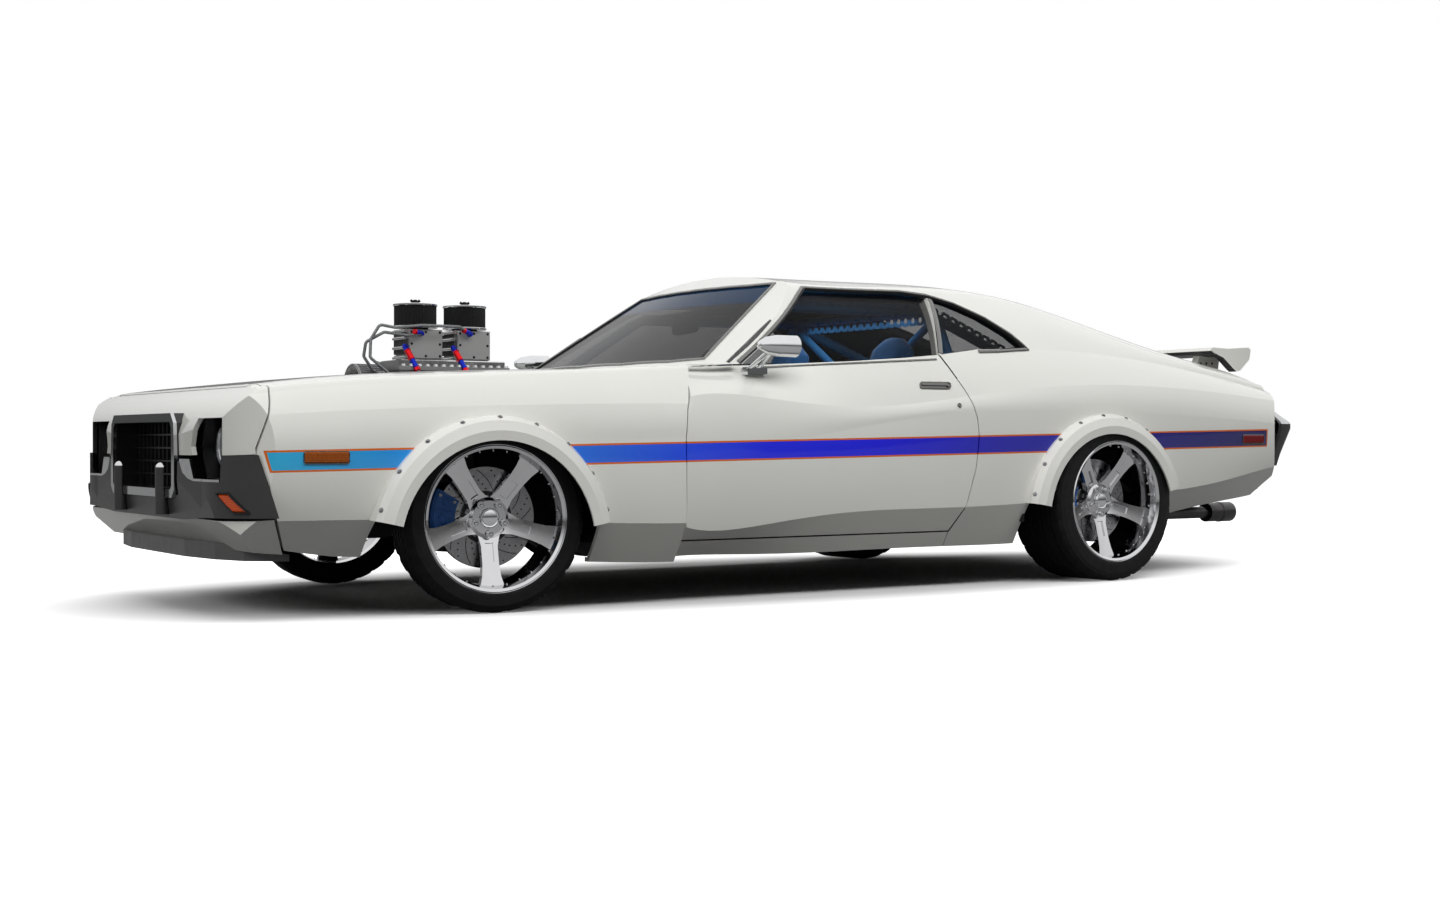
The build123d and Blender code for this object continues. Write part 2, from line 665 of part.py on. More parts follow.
def wheelhouses():
    front = block(-560, 518, 484, 496, 300, 780) + block(-560, 518, 484, 740, 780, 792)
    front = front - block(-160, 170, 470, 500, 190, 500)
    dome = rear_wheel_space(692, 1000, 12) - rear_wheel_space(704, 1300, 0)
    dome = (dome & block(2300, 3420, 600, 960, REAR_ARCH_Z, 900)) - rear_shell
    axle_way = block(2776, 3016, 680, 720, 0, 470)
    return both(front + (dome - axle_way))


TIE_DOWN_S = -640.0


def chassis():
    rail = side_prism([(-860, 262), (-860, 342), (330, 342), (530, 220), (2350, 220), (2530, 450),
                       (3250, 450), (3330, 380), (3930, 380), (3930, 318), (3300, 318),
                       (3220, 392), (2580, 392), (2400, 160), (560, 160), (300, 262)], 404, 476)
    part = both(rail)
    for s_from, s_to, z_from, z_to in ((-850, -790, 270, 340), (-110, 110, 262, 318),
                                       (3860, 3920, 322, 378)):
        part = part + block(s_from, s_to, -420, 420, z_from, z_to)
    return part - both(rod((X(TIE_DOWN_S), 440, Z(200)), (X(TIE_DOWN_S), 440, Z(400)), TIE_DOWN_RADIUS))


def engine():
    block_part = block(-330, 450, -235, 235, 330, 700)
    heads = both(block(-290, 420, 120, 330, 560, 700))
    sump = block(130, 430, -150, 150, 200, 332)
    feet = both(block(-60, 60, 160, 230, 318, 330))
    gearbox = block(448, 1050, -105, 105, 190, 372)
    return block_part + heads + sump + gearbox + feet


BOX_FRONTS = (-6.0, 202.0)
BOX_LENGTH = 154.0
BOX_HALF_WIDTH = 62.0
PULLEY_RADIUS = 93.0


def blower():
    """Lobed case on its manifold, a toothed drive pulley and two fuel boxes on top."""
    part = block(-60, 400, -150, 150, 700, 780)
    part = part + block(-60, 402, -128, 128, 780, 884) + block(-66, 408, -134, 134, 884, 900)
    for i in range(6):
        s = -30 + 80 * i
        part = part + block(s, s + 14, -140, 140, 790, 872)
    part = part + block(-40, 385, -104, 104, 900, 926)
    part = part + rod_s((-60, 0, 812), (-100, 0, 812), 46)
    pulley = rod_s((-100, 0, 812), (-204, 0, 812), PULLEY_RADIUS)
    for at in (-100, -198):
        pulley = pulley + rod_s((at, 0, 812), (at - 6, 0, 812), PULLEY_RADIUS + 4)
    part = part + pulley
    half = BOX_HALF_WIDTH
    for front in BOX_FRONTS:
        rear = front + BOX_LENGTH
        part = part + block(front + 6, rear - 4, -half + 8, half - 8, 926, 1046)
        part = part + block(front + 10, rear, -half, half, 932, 1048)
        for z in (934, 972, 1010, 1036):
            part = part + block(front, front + 12, -half + 4, half - 4, z, z + 12)
    return part


def air_filters():
    part = None
    for s in (60, 274):
        neck = rod_s((s, 0, 1048), (s, 0, 1056), 50)
        base = rod_s((s, 0, 1055), (s, 0, 1062), 84)
        body = rod_s((s, 0, 1061), (s, 0, 1142), 80)
        cap = rod_s((s, 0, 1141), (s, 0, 1149), 85)
        stud = rod_s((s, 0, 1148), (s, 0, 1166), 8)
        one = neck + base + body + cap + stud
        part = one if part is None else part + one
    return part


HOSE_RADIUS = 6.0


def hoses():
    """Braided fuel lines from the boxes to the front of the blower, and two short drops."""
    front = tube_path([(52, 62.5, 1028), (52, 88, 1028), (-20, 96, 1020), (-110, 90, 1030),
                       (-180, 78, 990), (-186, 70, 935), (-150, 76, 880), (-80, 90, 850),
                       (-66, 150, 830), (0, 170, 800), (40, 165, 760), (60, 152, 740)], HOSE_RADIUS, 18)
    rear = tube_path([(262, 62.5, 1032), (262, 84, 1034), (200, 108, 1060), (40, 112, 1060),
                      (-70, 104, 1048), (-130, 96, 1058), (-166, 92, 1000), (-172, 100, 930),
                      (-110, 128, 872), (-84, 170, 830), (0, 196, 780), (80, 190, 744),
                      (100, 152, 730)], HOSE_RADIUS, 18)
    drops = None
    for s in (-6, 200):
        one = tube_path([(s + 4, 54.5, 978), (s - 14, 78, 978), (s - 6, 112, 944), (s + 12, 148, 880),
                         (s + 20, 150.5, 776)], HOSE_RADIUS + 1, 10)
        drops = one if drops is None else drops + one
    return (front + rear + drops) - blower()


# ---------------------------------------------------------------- running gear
KINGPIN_S = 9.0
KINGPIN_Y = 710.0
FRONT_CENTRE = (X(0), FRONT_LIP_Y, FRONT_TYRE_RADIUS)
REAR_CENTRE = (REAR_AXLE_X, REAR_LIP_Y, REAR_TYRE_RADIUS)


def steered(part):
    """Turns a left-hand part about the left kingpin to the rest angle."""
    axis = Axis((X(KINGPIN_S), KINGPIN_Y, 0), (0, 0, 1))
    return Part() + part.rotate(axis, STEER_AT_REST)


def steered_right(part):
    axis = Axis((X(KINGPIN_S), -KINGPIN_Y, 0), (0, 0, 1))
    return Part() + part.rotate(axis, STEER_AT_REST)


def tyre(centre, radius, width):
    """Offsets run from the outer rim lip, outwards positive."""
    lip = RIM_LIP_RADIUS
    wall = radius - lip
    profile = [(lip - 10, -4), (lip + 2, 5), (lip + wall * 0.45, 8), (radius - 16, 2), (radius - 3, -12),
               (radius, -30), (radius, -width + 38), (radius - 3, -width + 20),
               (radius - 16, -width + 6), (lip + wall * 0.45, -width), (lip + 2, -width + 3),
               (lip - 10, -width + 12)]
    return lathe(profile, centre)


def rim(centre, width, hub_depth):
    lip = RIM_LIP_RADIUS
    inner = -width + 8
    barrel = lathe([(lip - 10.2, -4), (lip - 0.5, 4), (lip, -0.5), (lip, 0), (lip - 6, 6), (lip - 16, 0),
                    (lip - 22, -30), (lip - 24, -hub_depth + 40), (lip - 24, inner + 30),
                    (lip - 18, inner + 2), (lip - 12.2, inner), (lip - 10.2, inner + 4)], centre)
    return barrel


SPOKES = 5
SPOKE_HALF_WIDTHS = ((40, 46), (100, 31), (165, 31), (205, 35), (252, 47))
POCKET_FROM = 90.0
POCKET_TO = 156.0
POCKET_HALF_WIDTH = 15.0
POCKET_DEPTH = 7.0


def spoke_prism(centre, widths, angle):
    """Straight-sided arm seen along the axle, as (radius, half width) pairs."""
    x, y, z = centre
    ax, az = math.cos(angle), math.sin(angle)
    one = [(x + r * ax - half * az, y - 300, z + r * az + half * ax) for r, half in widths]
    other = [(x + r * ax + half * az, y - 300, z + r * az - half * ax) for r, half in reversed(widths)]
    return polygon_prism(one + other, (0, 400, 0))


def spokes(centre, hub_depth, tip_depth):
    """Five arms that widen to the barrel, one pointing straight down, each with a pocket."""
    x, y, z = centre
    root = RIM_LIP_RADIUS - 20
    hub_face = -hub_depth - 4

    def face(r):
        return hub_face + (r - 74) / (root - 74) * (-tip_depth - hub_face)

    dish = lathe([(26, -hub_depth + 3), (62, -hub_depth + 3), (74, hub_face), (root, -tip_depth),
                  (root, -tip_depth - 30), (150, -hub_depth - 8), (66, -hub_depth - 34),
                  (26, -hub_depth - 34)], centre)
    pocket = lathe([(POCKET_FROM, face(POCKET_FROM) - POCKET_DEPTH),
                    (POCKET_TO, face(POCKET_TO) - POCKET_DEPTH), (POCKET_TO, 50), (POCKET_FROM, 50)], centre)
    star = rod((x, y - 300, z), (x, y + 100, z), 74)
    slots = None
    for i in range(SPOKES):
        angle = math.radians(-90 + 360 / SPOKES * i)
        star = star + spoke_prism(centre, SPOKE_HALF_WIDTHS, angle)
        slot = spoke_prism(centre, ((60, POCKET_HALF_WIDTH), (180, POCKET_HALF_WIDTH)), angle)
        slots = slot if slots is None else slots + slot
    part = (dish & star) - (pocket & slots)
    for i in range(SPOKES):
        angle = math.radians(-90 + 360 / SPOKES * i)
        px, pz = x + 57.15 * math.cos(angle), z + 57.15 * math.sin(angle)
        part = part + rod((px, y - hub_depth - 2, pz), (px, y - hub_depth + 14, pz), 10)
    cap = rod((x, y - hub_depth - 34, z), (x, y - hub_depth + 8, z), 36)
    return part + cap


def wheel_rim(centre, width, hub_depth, tip_depth):
    return rim(centre, width, hub_depth) + spokes(centre, hub_depth, tip_depth)


def disc(centre, outer_face):
    x, y, z = centre
    face = y - outer_face
    ring = rod((x, face - 26, z), (x, face, z), 182) - rod((x, face - 40, z), (x, face + 10, z), 92)
    hat = rod((x, face - 26, z), (x, face + 4, z), 96) - rod((x, face - 40, z), (x, face - 6, z), 84)
    hat = hat - rod((x, face - 40, z), (x, face + 10, z), 34)
    return ring + hat


def caliper(centre, outer_face):
    """Fixed caliper over the front edge of the disc."""
    y = -outer_face
    body = lathe([(118, y + 4), (118, y + 12), (196, y + 12), (206, y + 4), (206, y - 40), (196, y - 50),
                  (118, y - 50), (118, y - 31), (187, y - 31), (187, y + 4)], centre, 62.0, -31.0)
    return body


def knuckle(centre, outer_face):
    x, y, z = centre
    face = y - outer_face
    spindle = rod((x, 694, z), (x, face - 26 - 0.4, z), 64)
    nose = rod((x, face - 30, z), (x, face + 2.5, z), 31)
    upright = Part() + Solid.make_box(54, 30, 222, Plane(origin=(x - 27 - KINGPIN_S, 695, 232)))
    carrier = Part() + Solid.make_box(110, 24, 60, Plane(origin=(x + 20, face - 62, z - 30)))
    return (spindle + upright + carrier + nose) + caliper(centre, outer_face)


def front_suspension():
    lower = top_prism([(-110, 476), (-60, 476), (0, 640), (30, 640), (80, 476), (120, 476), (36, 722),
                       (-20, 722)], 204, 231)
    upper = top_prism([(-80, 476), (-40, 476), (0, 620), (20, 620), (60, 476), (100, 476), (34, 718),
                       (-16, 718)], 455, 476)
    mount = block(-100, 120, 455, 478, 342, 480) + block(-130, 140, 455, 478, 204, 262)
    coil = rod_s((9, 560, 231), (9, 560, 780), 46)
    hole = rod_s((9, 560, 200), (9, 560, 600), 30)
    return both(lower + upper + mount + (coil - hole))


def rear_axle():
    x, y, z = REAR_CENTRE
    tube = rod((x, -700, z), (x, 700, z), 40)
    pumpkin = Part() + Solid.make_sphere(98, Plane(origin=(x, 0, z)))
    nose = rod((x + 100, 0, z), (x + 250, 0, z), 52)
    ends = both(rod((x, 700, z), (x, y - REAR_DISC_FACE - 26 - 0.4, z), 64))
    stub = both(rod((x, y - REAR_DISC_FACE - 30, z), (x, y - REAR_DISC_FACE + 2.5, z), 31))
    return tube + pumpkin + nose + ends + stub


def rear_calipers():
    body = caliper(REAR_CENTRE, REAR_DISC_FACE)
    x, y, z = REAR_CENTRE
    face = y - REAR_DISC_FACE
    carrier = Part() + Solid.make_box(150, 24, 60, Plane(origin=(x + 20, face - 62, z - 30)))
    return both(body + (carrier - rod((x, 0, z), (x, 2000, z), 64)))


def rear_springs():
    leaf = side_prism([(2460, 298), (2650, 286), (2896, 280), (3200, 286), (3480, 310), (3480, 326),
                       (3200, 306), (2896, 306), (2650, 306), (2460, 314)], 560, 622)
    front_eye = block(2446, 2464, 476, 622, 286, 326)
    rear_eye = block(3474, 3492, 476, 622, 300, 360)
    x, y, z = REAR_CENTRE
    return both((leaf + front_eye + rear_eye) - rod((x, -700, z), (x, 700, z), 40))


def drive_shaft():
    x, y, z = REAR_CENTRE
    return rod((X(1040), 0, Z(300)), (x + 240, 0, z), 38) - engine() - rear_axle()


def fuel_tank():
    return block(3430, 3850, -390, 390, 236, 380)


def exhaust():
    part = tube_path([(180, 300, 562), (230, 305, 330), (440, 330, 186), (2350, 330, 186),
                      (2560, 330, 246), (3330, 345, 246), (3600, 590, 262), (4110, 590, 262)], 28, 80)
    muffler = block(1500, 2050, 240, 398, 136, 214)
    tip = rod_s((3950, 590, 262), (4116, 590, 262), 46)
    return both((part - engine()) + muffler + tip)


# ---------------------------------------------------------------- over-fenders
def flare(s, z, body, front_leg, rear_leg):
    reach = FLARE_REACH
    profile = [(FLARE_OUTER_RADIUS + 3, 968), (FLARE_OUTER_RADIUS + 2, 1018), (441, 1047), (406, reach),
               (FLARE_LIP_RADIUS, reach - 3), (FLARE_LIP_RADIUS, reach - 11), (405, reach - 9),
               (434, 1039), (448, 1013), (448, 968)]
    ring = lathe(profile, (X(s), 0, Z(z)), 180.0 - front_leg - rear_leg, -180.0 + rear_leg)
    return both(ring - body)


def flares():
    front = flare(FRONT_ARCH_S, FRONT_ARCH_Z, front_outer, 13.0, 10.5)
    rear = flare(REAR_ARCH_S, REAR_ARCH_Z, cabin_outer, 10.0, 18.5)
    return front + rear


# ---------------------------------------------------------------- rear end
PLATE_Z = 620.0
PLATE_FACE_S = 4094.0
BUMPER_BREAK_Z = 690.0     # dark below, bright above


CORNER_TAPER = [(3000, 400), (3868, 400), (3884, 494), (3977, 676), (3968, 694), (3880, 754),
                (3860, 800), (3000, 800)]


def corner_taper():
    """The bumper's outline seen square to its corners, as (distance, height); it narrows both ways."""
    across, along = math.cos(math.radians(33.6)), math.sin(math.radians(33.6))
    share = REAR_OVERHANG / NOMINAL_REAR

    def place(distance, shift, z):
        behind = across * distance - along * shift - 4160
        return X(4160) - behind * share, Y(along * distance + across * shift), Z(z)

    start = [place(d, -3000, z) for d, z in CORNER_TAPER]
    end = place(CORNER_TAPER[0][0], 3000, CORNER_TAPER[0][1])
    left = polygon_prism(start, [b - a for a, b in zip(start[0], end)])
    return left & mirrored(left)


def rear_bumper():
    """Wrap-round bumper: leans in below its widest line, and slopes up to the tail above it."""
    points = [(3900, 1018), (4160, 700, 4136, 946), (4160, -700), (3900, -1018, 4136, -946)]
    face = arc_face(points, lambda s, y: (X(s), Y(y), Z(400)))
    band = Part() + Solid.extrude(face, Vector(0, 0, Z(800) - Z(400)))
    side = [(3938, 752), (4052, 752), (4150, 700), (4160, BUMPER_BREAK_Z), (4160, 668), (4072, 490),
            (3908, 484), (3932, 640)]
    part = (band & side_prism(side, -1300, 1300) & corner_taper()) - cabin_outer
    part = part - block(PLATE_FACE_S, 4200, -170, 170, 480, 664)
    return part - plate_screws()


def tail_lamps():
    lens = side_prism([(4062, 735), (4138, 695), (4147, 710), (4071, 751)], 330, 820)
    return both(lens - rear_bumper() - cabin_outer)


def wing():
    blade = side_prism([(3836, 1040), (3852, 1056), (3980, 1048), (4112, 1062), (4122, 1052),
                        (4060, 1026), (3960, 1016), (3870, 1026)], -720, 720)
    plate = side_prism([(3836, 1040), (3852, 1056), (3980, 1052), (4106, 1062), (4122, 1050),
                        (4112, 1004), (4048, 950), (4020, 944), (3992, 962), (3930, 1008)], 676, 722)
    feet = side_prism([(3850, 900), (3900, 1022), (4040, 1022), (4020, 900)], 560, 600)
    return blade + both(plate) + both(feet - cabin_outer)


# ---------------------------------------------------------------- cabin fittings
def mirror():
    profile = [(1012, 0), (1018, 16), (1050, 33), (1100, 41), (1186, 42), (1186, 0)]
    points = [(X(s), Y(1005), Z(972) + r) for s, r in profile]
    head = revolve(Face(Wire.make_polygon(points)), Axis((X(1000), Y(1005), Z(972)), (1, 0, 0)), 360)
    stalk = rod_s((1040, 893, 880), (1075, 990, 952), 9) + rod_s((1090, 893, 884), (1085, 990, 952), 9)
    foot = side_prism([(1020, 862), (1020, 886), (1112, 892), (1112, 866)], 880, 925)
    return ((Part() + head) + stalk + foot) - cabin_outer


def dashboard():
    return side_prism([(760, 700), (960, 560), (1060, 600), (1110, 760), (1050, 862), (960, 876),
                       (760, 866)], -660, 660)


def steering_wheel():
    centre = Vector(X(1300), Y(370), Z(810))
    tilt = Vector(-math.cos(math.radians(22)), 0, math.sin(math.radians(22)))
    plane = Plane(origin=centre, z_dir=tilt)
    grip = Plane(origin=centre + plane.x_dir * 182, x_dir=plane.x_dir, z_dir=plane.y_dir) * Circle(14)
    ring = Part() + revolve(grip, Axis(centre, tilt), 360)
    hub = rod(centre - tilt * 12, centre + tilt * 10, 46)
    column = rod(centre - tilt * 200, centre - tilt * 10, 26)
    arms = None
    for i in range(3):
        angle = math.radians(90 + 120 * i)
        aim = plane.x_dir * math.cos(angle) + plane.y_dir * math.sin(angle)
        arm = rod(centre + aim * 36, centre + aim * 170, 9)
        arms = arm if arms is None else arms + arm
    return (ring + hub + column + arms) - dashboard()


def seats():
    half = SEAT_WIDTH / 2
    bucket = side_prism([(1500, 300), (1500, 420), (1560, 452), (1960, 412), (2140, 1080), (2200, 1094),
                         (2240, 1060), (2090, 380), (2040, 300)], SEAT_Y - half, SEAT_Y + half)
    base = block(1560, 1980, SEAT_Y - 190, SEAT_Y + 190, 240, 300)
    bench = side_prism([(2390, 470), (2380, 560), (2440, 590), (2700, 570), (2800, 860), (2850, 860),
                        (2850, 470)], -600, 600)
    return both(bucket + base) + (bench - block(2300, 2600, -700, 700, 0, 470))


def roll_cage():
    radius = CAGE_TUBE / 2
    hoop = tube_path([(2290, 665, 240), (2290, 665, 880), (2290, 520, 1180), (2290, -520, 1180),
                      (2290, -665, 880), (2290, -665, 240)], radius, 120)
    bars = None
    for side in (1, -1):
        front = tube_path([(1000, 700 * side, 240), (1000, 700 * side, 850), (1430, 545 * side, 1165),
                           (2300, 516 * side, 1172)], radius, 110)
        back = rod_s((2290, 500 * side, 1160), (3060, 500 * side, 862), radius)
        low = rod_s((1000, 700 * side, 520), (2290, 665 * side, 520), radius)
        one = front + back + low
        bars = one if bars is None else bars + one
    return (hoop + bars) - block(2700, 3600, -690, 690, 700, 872)


def left_and_right(name, part, turned_left=None, turned_right=None):
    """Stores a left-hand part and its mirror image, each turned if a turn is given."""
    other = mirrored(part)
    put(name + "_left", turned_left(part) if turned_left else part)
    put(name + "_right", turned_right(other) if turned_right else other)


def build_front():
    put("front_fenders", front_fenders())
    put("nose_panel", nose_panel())
    put("grille", grille())
    put("headlamps", headlamps())
    put("front_bumper", front_bumper())
    put("bumper_trim", bumper_trim())
    put("front_valance", front_valance())
    put("splitter", splitter())
    put("hood", hood())
    put("firewall", firewall())


def build_cabin():
    put("roof", roof())
    put("windscreen", windscreen())
    put("rear_window", rear_window())
    put("quarter_glass", quarter_glass())
    left_and_right("door_glass", door_glass())
    left_and_right("door", door())
    put("dashboard", dashboard())
    put("steering_wheel", steering_wheel())
    put("seats", seats())
    put("roll_cage", roll_cage())
    left_and_right("mirror", mirror())


def build_body():
    put("quarter_panels", quarter_panels())
    put("tail_panel", tail_panel())
    put("deck_lid", deck_lid())
    put("rockers", rockers())
    put("floor_pan", floor_pan())
    put("wheelhouses", wheelhouses())
    put("chassis", chassis())
    put("flares", flares())
    put("rear_bumper", rear_bumper())
    put("tail_lamps", tail_lamps())
    put("wing", wing())


def build_machinery():
    put("engine", engine())
    put("blower", blower())
    put("air_filters", air_filters())
    put("hoses", hoses())
    put("drive_shaft", drive_shaft())
    put("fuel_tank", fuel_tank())
    put("exhaust", exhaust())


def build_wheels():
    turned = (steered, steered_right)
    left_and_right("front_tyre", tyre(FRONT_CENTRE, FRONT_TYRE_RADIUS, FRONT_TYRE_WIDTH), *turned)
    rim_width = FRONT_TYRE_WIDTH - RIM_INSET
    front = wheel_rim(FRONT_CENTRE, rim_width, FRONT_HUB_DEPTH, FRONT_SPOKE_DEPTH)
    left_and_right("front_rim", front, *turned)
    left_and_right("front_disc", disc(FRONT_CENTRE, FRONT_DISC_FACE), *turned)
    left_and_right("knuckle", knuckle(FRONT_CENTRE, FRONT_DISC_FACE), *turned)
    left_and_right("rear_tyre", tyre(REAR_CENTRE, REAR_TYRE_RADIUS, REAR_TYRE_WIDTH))
    rim_width = REAR_TYRE_WIDTH - RIM_INSET
    rear = wheel_rim(REAR_CENTRE, rim_width, REAR_HUB_DEPTH, REAR_SPOKE_DEPTH)
    left_and_right("rear_rim", rear)
    left_and_right("rear_disc", disc(REAR_CENTRE, REAR_DISC_FACE))
    put("front_suspension", front_suspension())
    put("rear_axle", rear_axle())
    put("rear_calipers", rear_calipers())
    put("rear_springs", rear_springs())


if __name__ == "__main__":
    build_front()
    build_cabin()
    build_body()
    build_machinery()
    build_wheels()
    os.makedirs("parts", exist_ok=True)
    for name, part in nodes.items():
        export_step(part, "parts/" + name + ".step")
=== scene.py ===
import bpy
import bmesh
import json
import math
from mathutils import Matrix, Vector
from mathutils.bvhtree import BVHTree


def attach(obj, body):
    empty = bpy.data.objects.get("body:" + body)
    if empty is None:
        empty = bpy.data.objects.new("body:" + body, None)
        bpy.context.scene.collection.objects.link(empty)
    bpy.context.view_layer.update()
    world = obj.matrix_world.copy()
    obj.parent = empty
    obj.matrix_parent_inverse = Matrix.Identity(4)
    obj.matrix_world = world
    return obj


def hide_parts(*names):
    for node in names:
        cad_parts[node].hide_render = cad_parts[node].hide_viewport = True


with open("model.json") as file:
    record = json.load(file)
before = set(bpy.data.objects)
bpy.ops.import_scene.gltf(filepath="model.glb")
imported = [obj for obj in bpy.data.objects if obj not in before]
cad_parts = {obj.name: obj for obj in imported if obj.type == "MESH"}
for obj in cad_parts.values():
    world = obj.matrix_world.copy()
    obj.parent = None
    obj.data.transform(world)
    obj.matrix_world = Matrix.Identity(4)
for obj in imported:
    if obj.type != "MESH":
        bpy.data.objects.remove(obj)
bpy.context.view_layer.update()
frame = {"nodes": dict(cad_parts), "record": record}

# metres, as in the CAD; faces are measured inwards from a wheel's outer lip
FRONT_AXLE = 1.560
WHEELBASE = 2.896
STEER = math.radians(-8.05)
KINGPIN = (1.551, 0.710)
WHEEL_LIP = {"front": 0.885, "rear": 1.024}
TYRE_RADIUS = {"front": 0.3347, "rear": 0.3468}
TYRE_WIDTH = {"front": 0.200, "rear": 0.297}
HUB_FACE = {"front": -0.084, "rear": -0.098}
DISC_FACE = {"front": -0.122, "rear": -0.136}
CALIPER_TOP = 0.012
RIM = 0.2638


def P(s, y, z):
    """A point from millimetres behind the front axle, left of the middle and above the ground."""
    return Vector((FRONT_AXLE - s / 1000.0, y / 1000.0, z / 1000.0))


def polar(r, a, z=0.0):
    return Vector((r * math.cos(a), r * math.sin(a), z))


def around(count, shift=0.0):
    """Even angles round a circle, the first one moved by a share of a step."""
    return [2 * math.pi * (i + shift) / count for i in range(count)]


def shown(obj):
    bpy.context.scene.collection.objects.link(obj)
    return obj


# ------------------------------------------------------------------ node helpers
WHITE = (1.0, 1.0, 1.0, 1.0)


def srgb(r, g, b):
    """Linear colour from 0 to 255 screen values."""
    out = []
    for c in (r, g, b):
        c = c / 255.0
        out.append(c / 12.92 if c <= 0.04045 else ((c + 0.055) / 1.055) ** 2.4)
    return out + [1.0]


def times(colour, k):
    return [min(c * k, 1.0) for c in colour[:3]] + [1.0]


class Nodes:
    """Short ways to add the usual nodes to a tree."""

    def __init__(self, tree):
        self.tree = tree

    def node(self, kind, **settings):
        n = self.tree.nodes.new("ShaderNode" + kind)
        for key, value in settings.items():
            setattr(n, key, value)
        return n

    def put(self, value, socket):
        """Links a node's output to the socket, or sets the socket to a plain value."""
        if isinstance(value, bpy.types.NodeSocket):
            self.tree.links.new(value, socket)
        else:
            socket.default_value = value

    def fed(self, node, *values):
        """Puts values into a node's first inputs, and gives its outputs."""
        for value, socket in zip(values, node.inputs):
            self.put(value, socket)
        return node.outputs

    def math(self, operation, *values):
        return self.fed(self.node("Math", operation=operation), *values)[0]

    def vector(self, operation, *values):
        return self.fed(self.node("VectorMath", operation=operation), *values)

    def split(self, vector):
        return self.fed(self.node("SeparateXYZ"), vector)

    def grey(self, value):
        return self.fed(self.node("CombineColor"), value, value, value)[0]

    def ramp(self, value, low, high, out_low, out_high, kind="LINEAR"):
        n = self.node("MapRange", interpolation_type=kind)
        for key, number in (("From Min", low), ("From Max", high), ("To Min", out_low), ("To Max", out_high)):
            n.inputs[key].default_value = number
        self.put(value, n.inputs["Value"])
        return n.outputs["Result"]

    def mix(self, factor, a, b, blend="MIX"):
        n = self.node("Mix", data_type="RGBA", blend_type=blend)
        for value, socket in ((factor, n.inputs["Factor"]), (a, n.inputs[6]), (b, n.inputs[7])):
            self.put(value, socket)
        return n.outputs[2]

    def seen_directly(self):
        """1 for rays that see the background: straight, in a reflection or through glass."""
        ray = self.node("LightPath").outputs
        seen = self.math("MAXIMUM", ray["Is Camera Ray"], ray["Is Glossy Ray"])
        return self.math("MAXIMUM", seen, ray["Is Transmission Ray"])


class Shader(Nodes):
    """A principled material."""

    def __init__(self, name, colour, metallic=0.0, roughness=0.5):
        self.material = bpy.data.materials.new(name)
        self.material.use_nodes = True
        super().__init__(self.material.node_tree)
        self.inputs = self.tree.nodes["Principled BSDF"].inputs
        where = self.node("TexCoord").outputs
        self.coords, self.normal = where["Object"], where["Normal"]
        self.colour = colour
        self.roughness = roughness
        self.set(Base_Color=colour, Metallic=metallic, Roughness=roughness)

    def set(self, **values):
        for key, value in values.items():
            self.put(value, self.inputs[key.replace("_", " ")])
        return self

    def noise(self, scale, detail=4.0):
        n = self.node("TexNoise")
        n.inputs["Scale"].default_value = scale
        n.inputs["Detail"].default_value = detail
        self.put(self.coords, n.inputs["Vector"])
        return n.outputs["Fac"]

    def patches(self, scale, detail, low, high):
        """Soft patches between two values."""
        return self.ramp(self.noise(scale, detail), 0.3, 0.7, low, high)

    def tone(self, scale, spread, detail=5.0):
        """Slight light and dark patches in the base colour."""
        dark, light = times(self.colour, 1 - spread), times(self.colour, 1 + spread)
        return self.set(Base_Color=self.mix(self.patches(scale, detail, 0.0, 1.0), dark, light))

    def worn(self, scale, spread):
        """Roughness that varies over the surface."""
        return self.set(Roughness=self.patches(scale, 6.0, self.roughness - spread, self.roughness + spread))

    def grain(self, height, strength, distance):
        bump = self.node("Bump")
        bump.inputs["Strength"].default_value = strength
        bump.inputs["Distance"].default_value = distance
        self.put(height, bump.inputs["Height"])
        return self.set(Normal=bump.outputs["Normal"])


# ------------------------------------------------------------------ camera, light and floor
camera_data = bpy.data.cameras.new("camera")
camera_data.sensor_width = 36.0
camera_data.lens = 45.40
camera_data.clip_end = 200.0
camera = shown(bpy.data.objects.new("camera", camera_data))
camera.location = (4.4662, 6.6539, 0.6097)
camera.rotation_euler = (math.radians(90 - 0.29), 0.0, math.radians(146.45))
bpy.context.scene.camera = camera
bpy.context.scene.view_settings.view_transform = "Standard"


def studio():
    """Bright to the eye and in glass, dim as a lamp, and greyer near the horizon in reflections."""
    world = bpy.data.worlds.new("studio")
    bpy.context.scene.world = world
    world.use_nodes = True
    n = Nodes(world.node_tree)
    level = n.ramp(n.seen_directly(), 0.0, 1.0, 0.10, 1.0)
    height = n.split(n.node("TexCoord").outputs["Generated"])["Z"]
    horizon = n.ramp(height, -0.02, 0.42, 0.06, 1.0, "SMOOTHSTEP")
    plain = n.math("SUBTRACT", 1.0, n.node("LightPath").outputs["Is Glossy Ray"])
    background = n.tree.nodes["Background"].inputs
    background["Color"].default_value = WHITE
    n.put(n.math("MULTIPLY", level, n.math("MAXIMUM", horizon, plain)), background["Strength"])


def area_light(name, place, size_x, size_y, power, aim):
    data = bpy.data.lights.new(name, "AREA")
    data.shape = "RECTANGLE"
    data.size = size_x
    data.size_y = size_y
    data.energy = power
    lamp = shown(bpy.data.objects.new(name, data))
    lamp.location = place
    lamp.visible_glossy = False
    lamp.visible_camera = False
    lamp.rotation_euler = (Vector(aim) - Vector(place)).to_track_quat("-Z", "Y").to_euler()


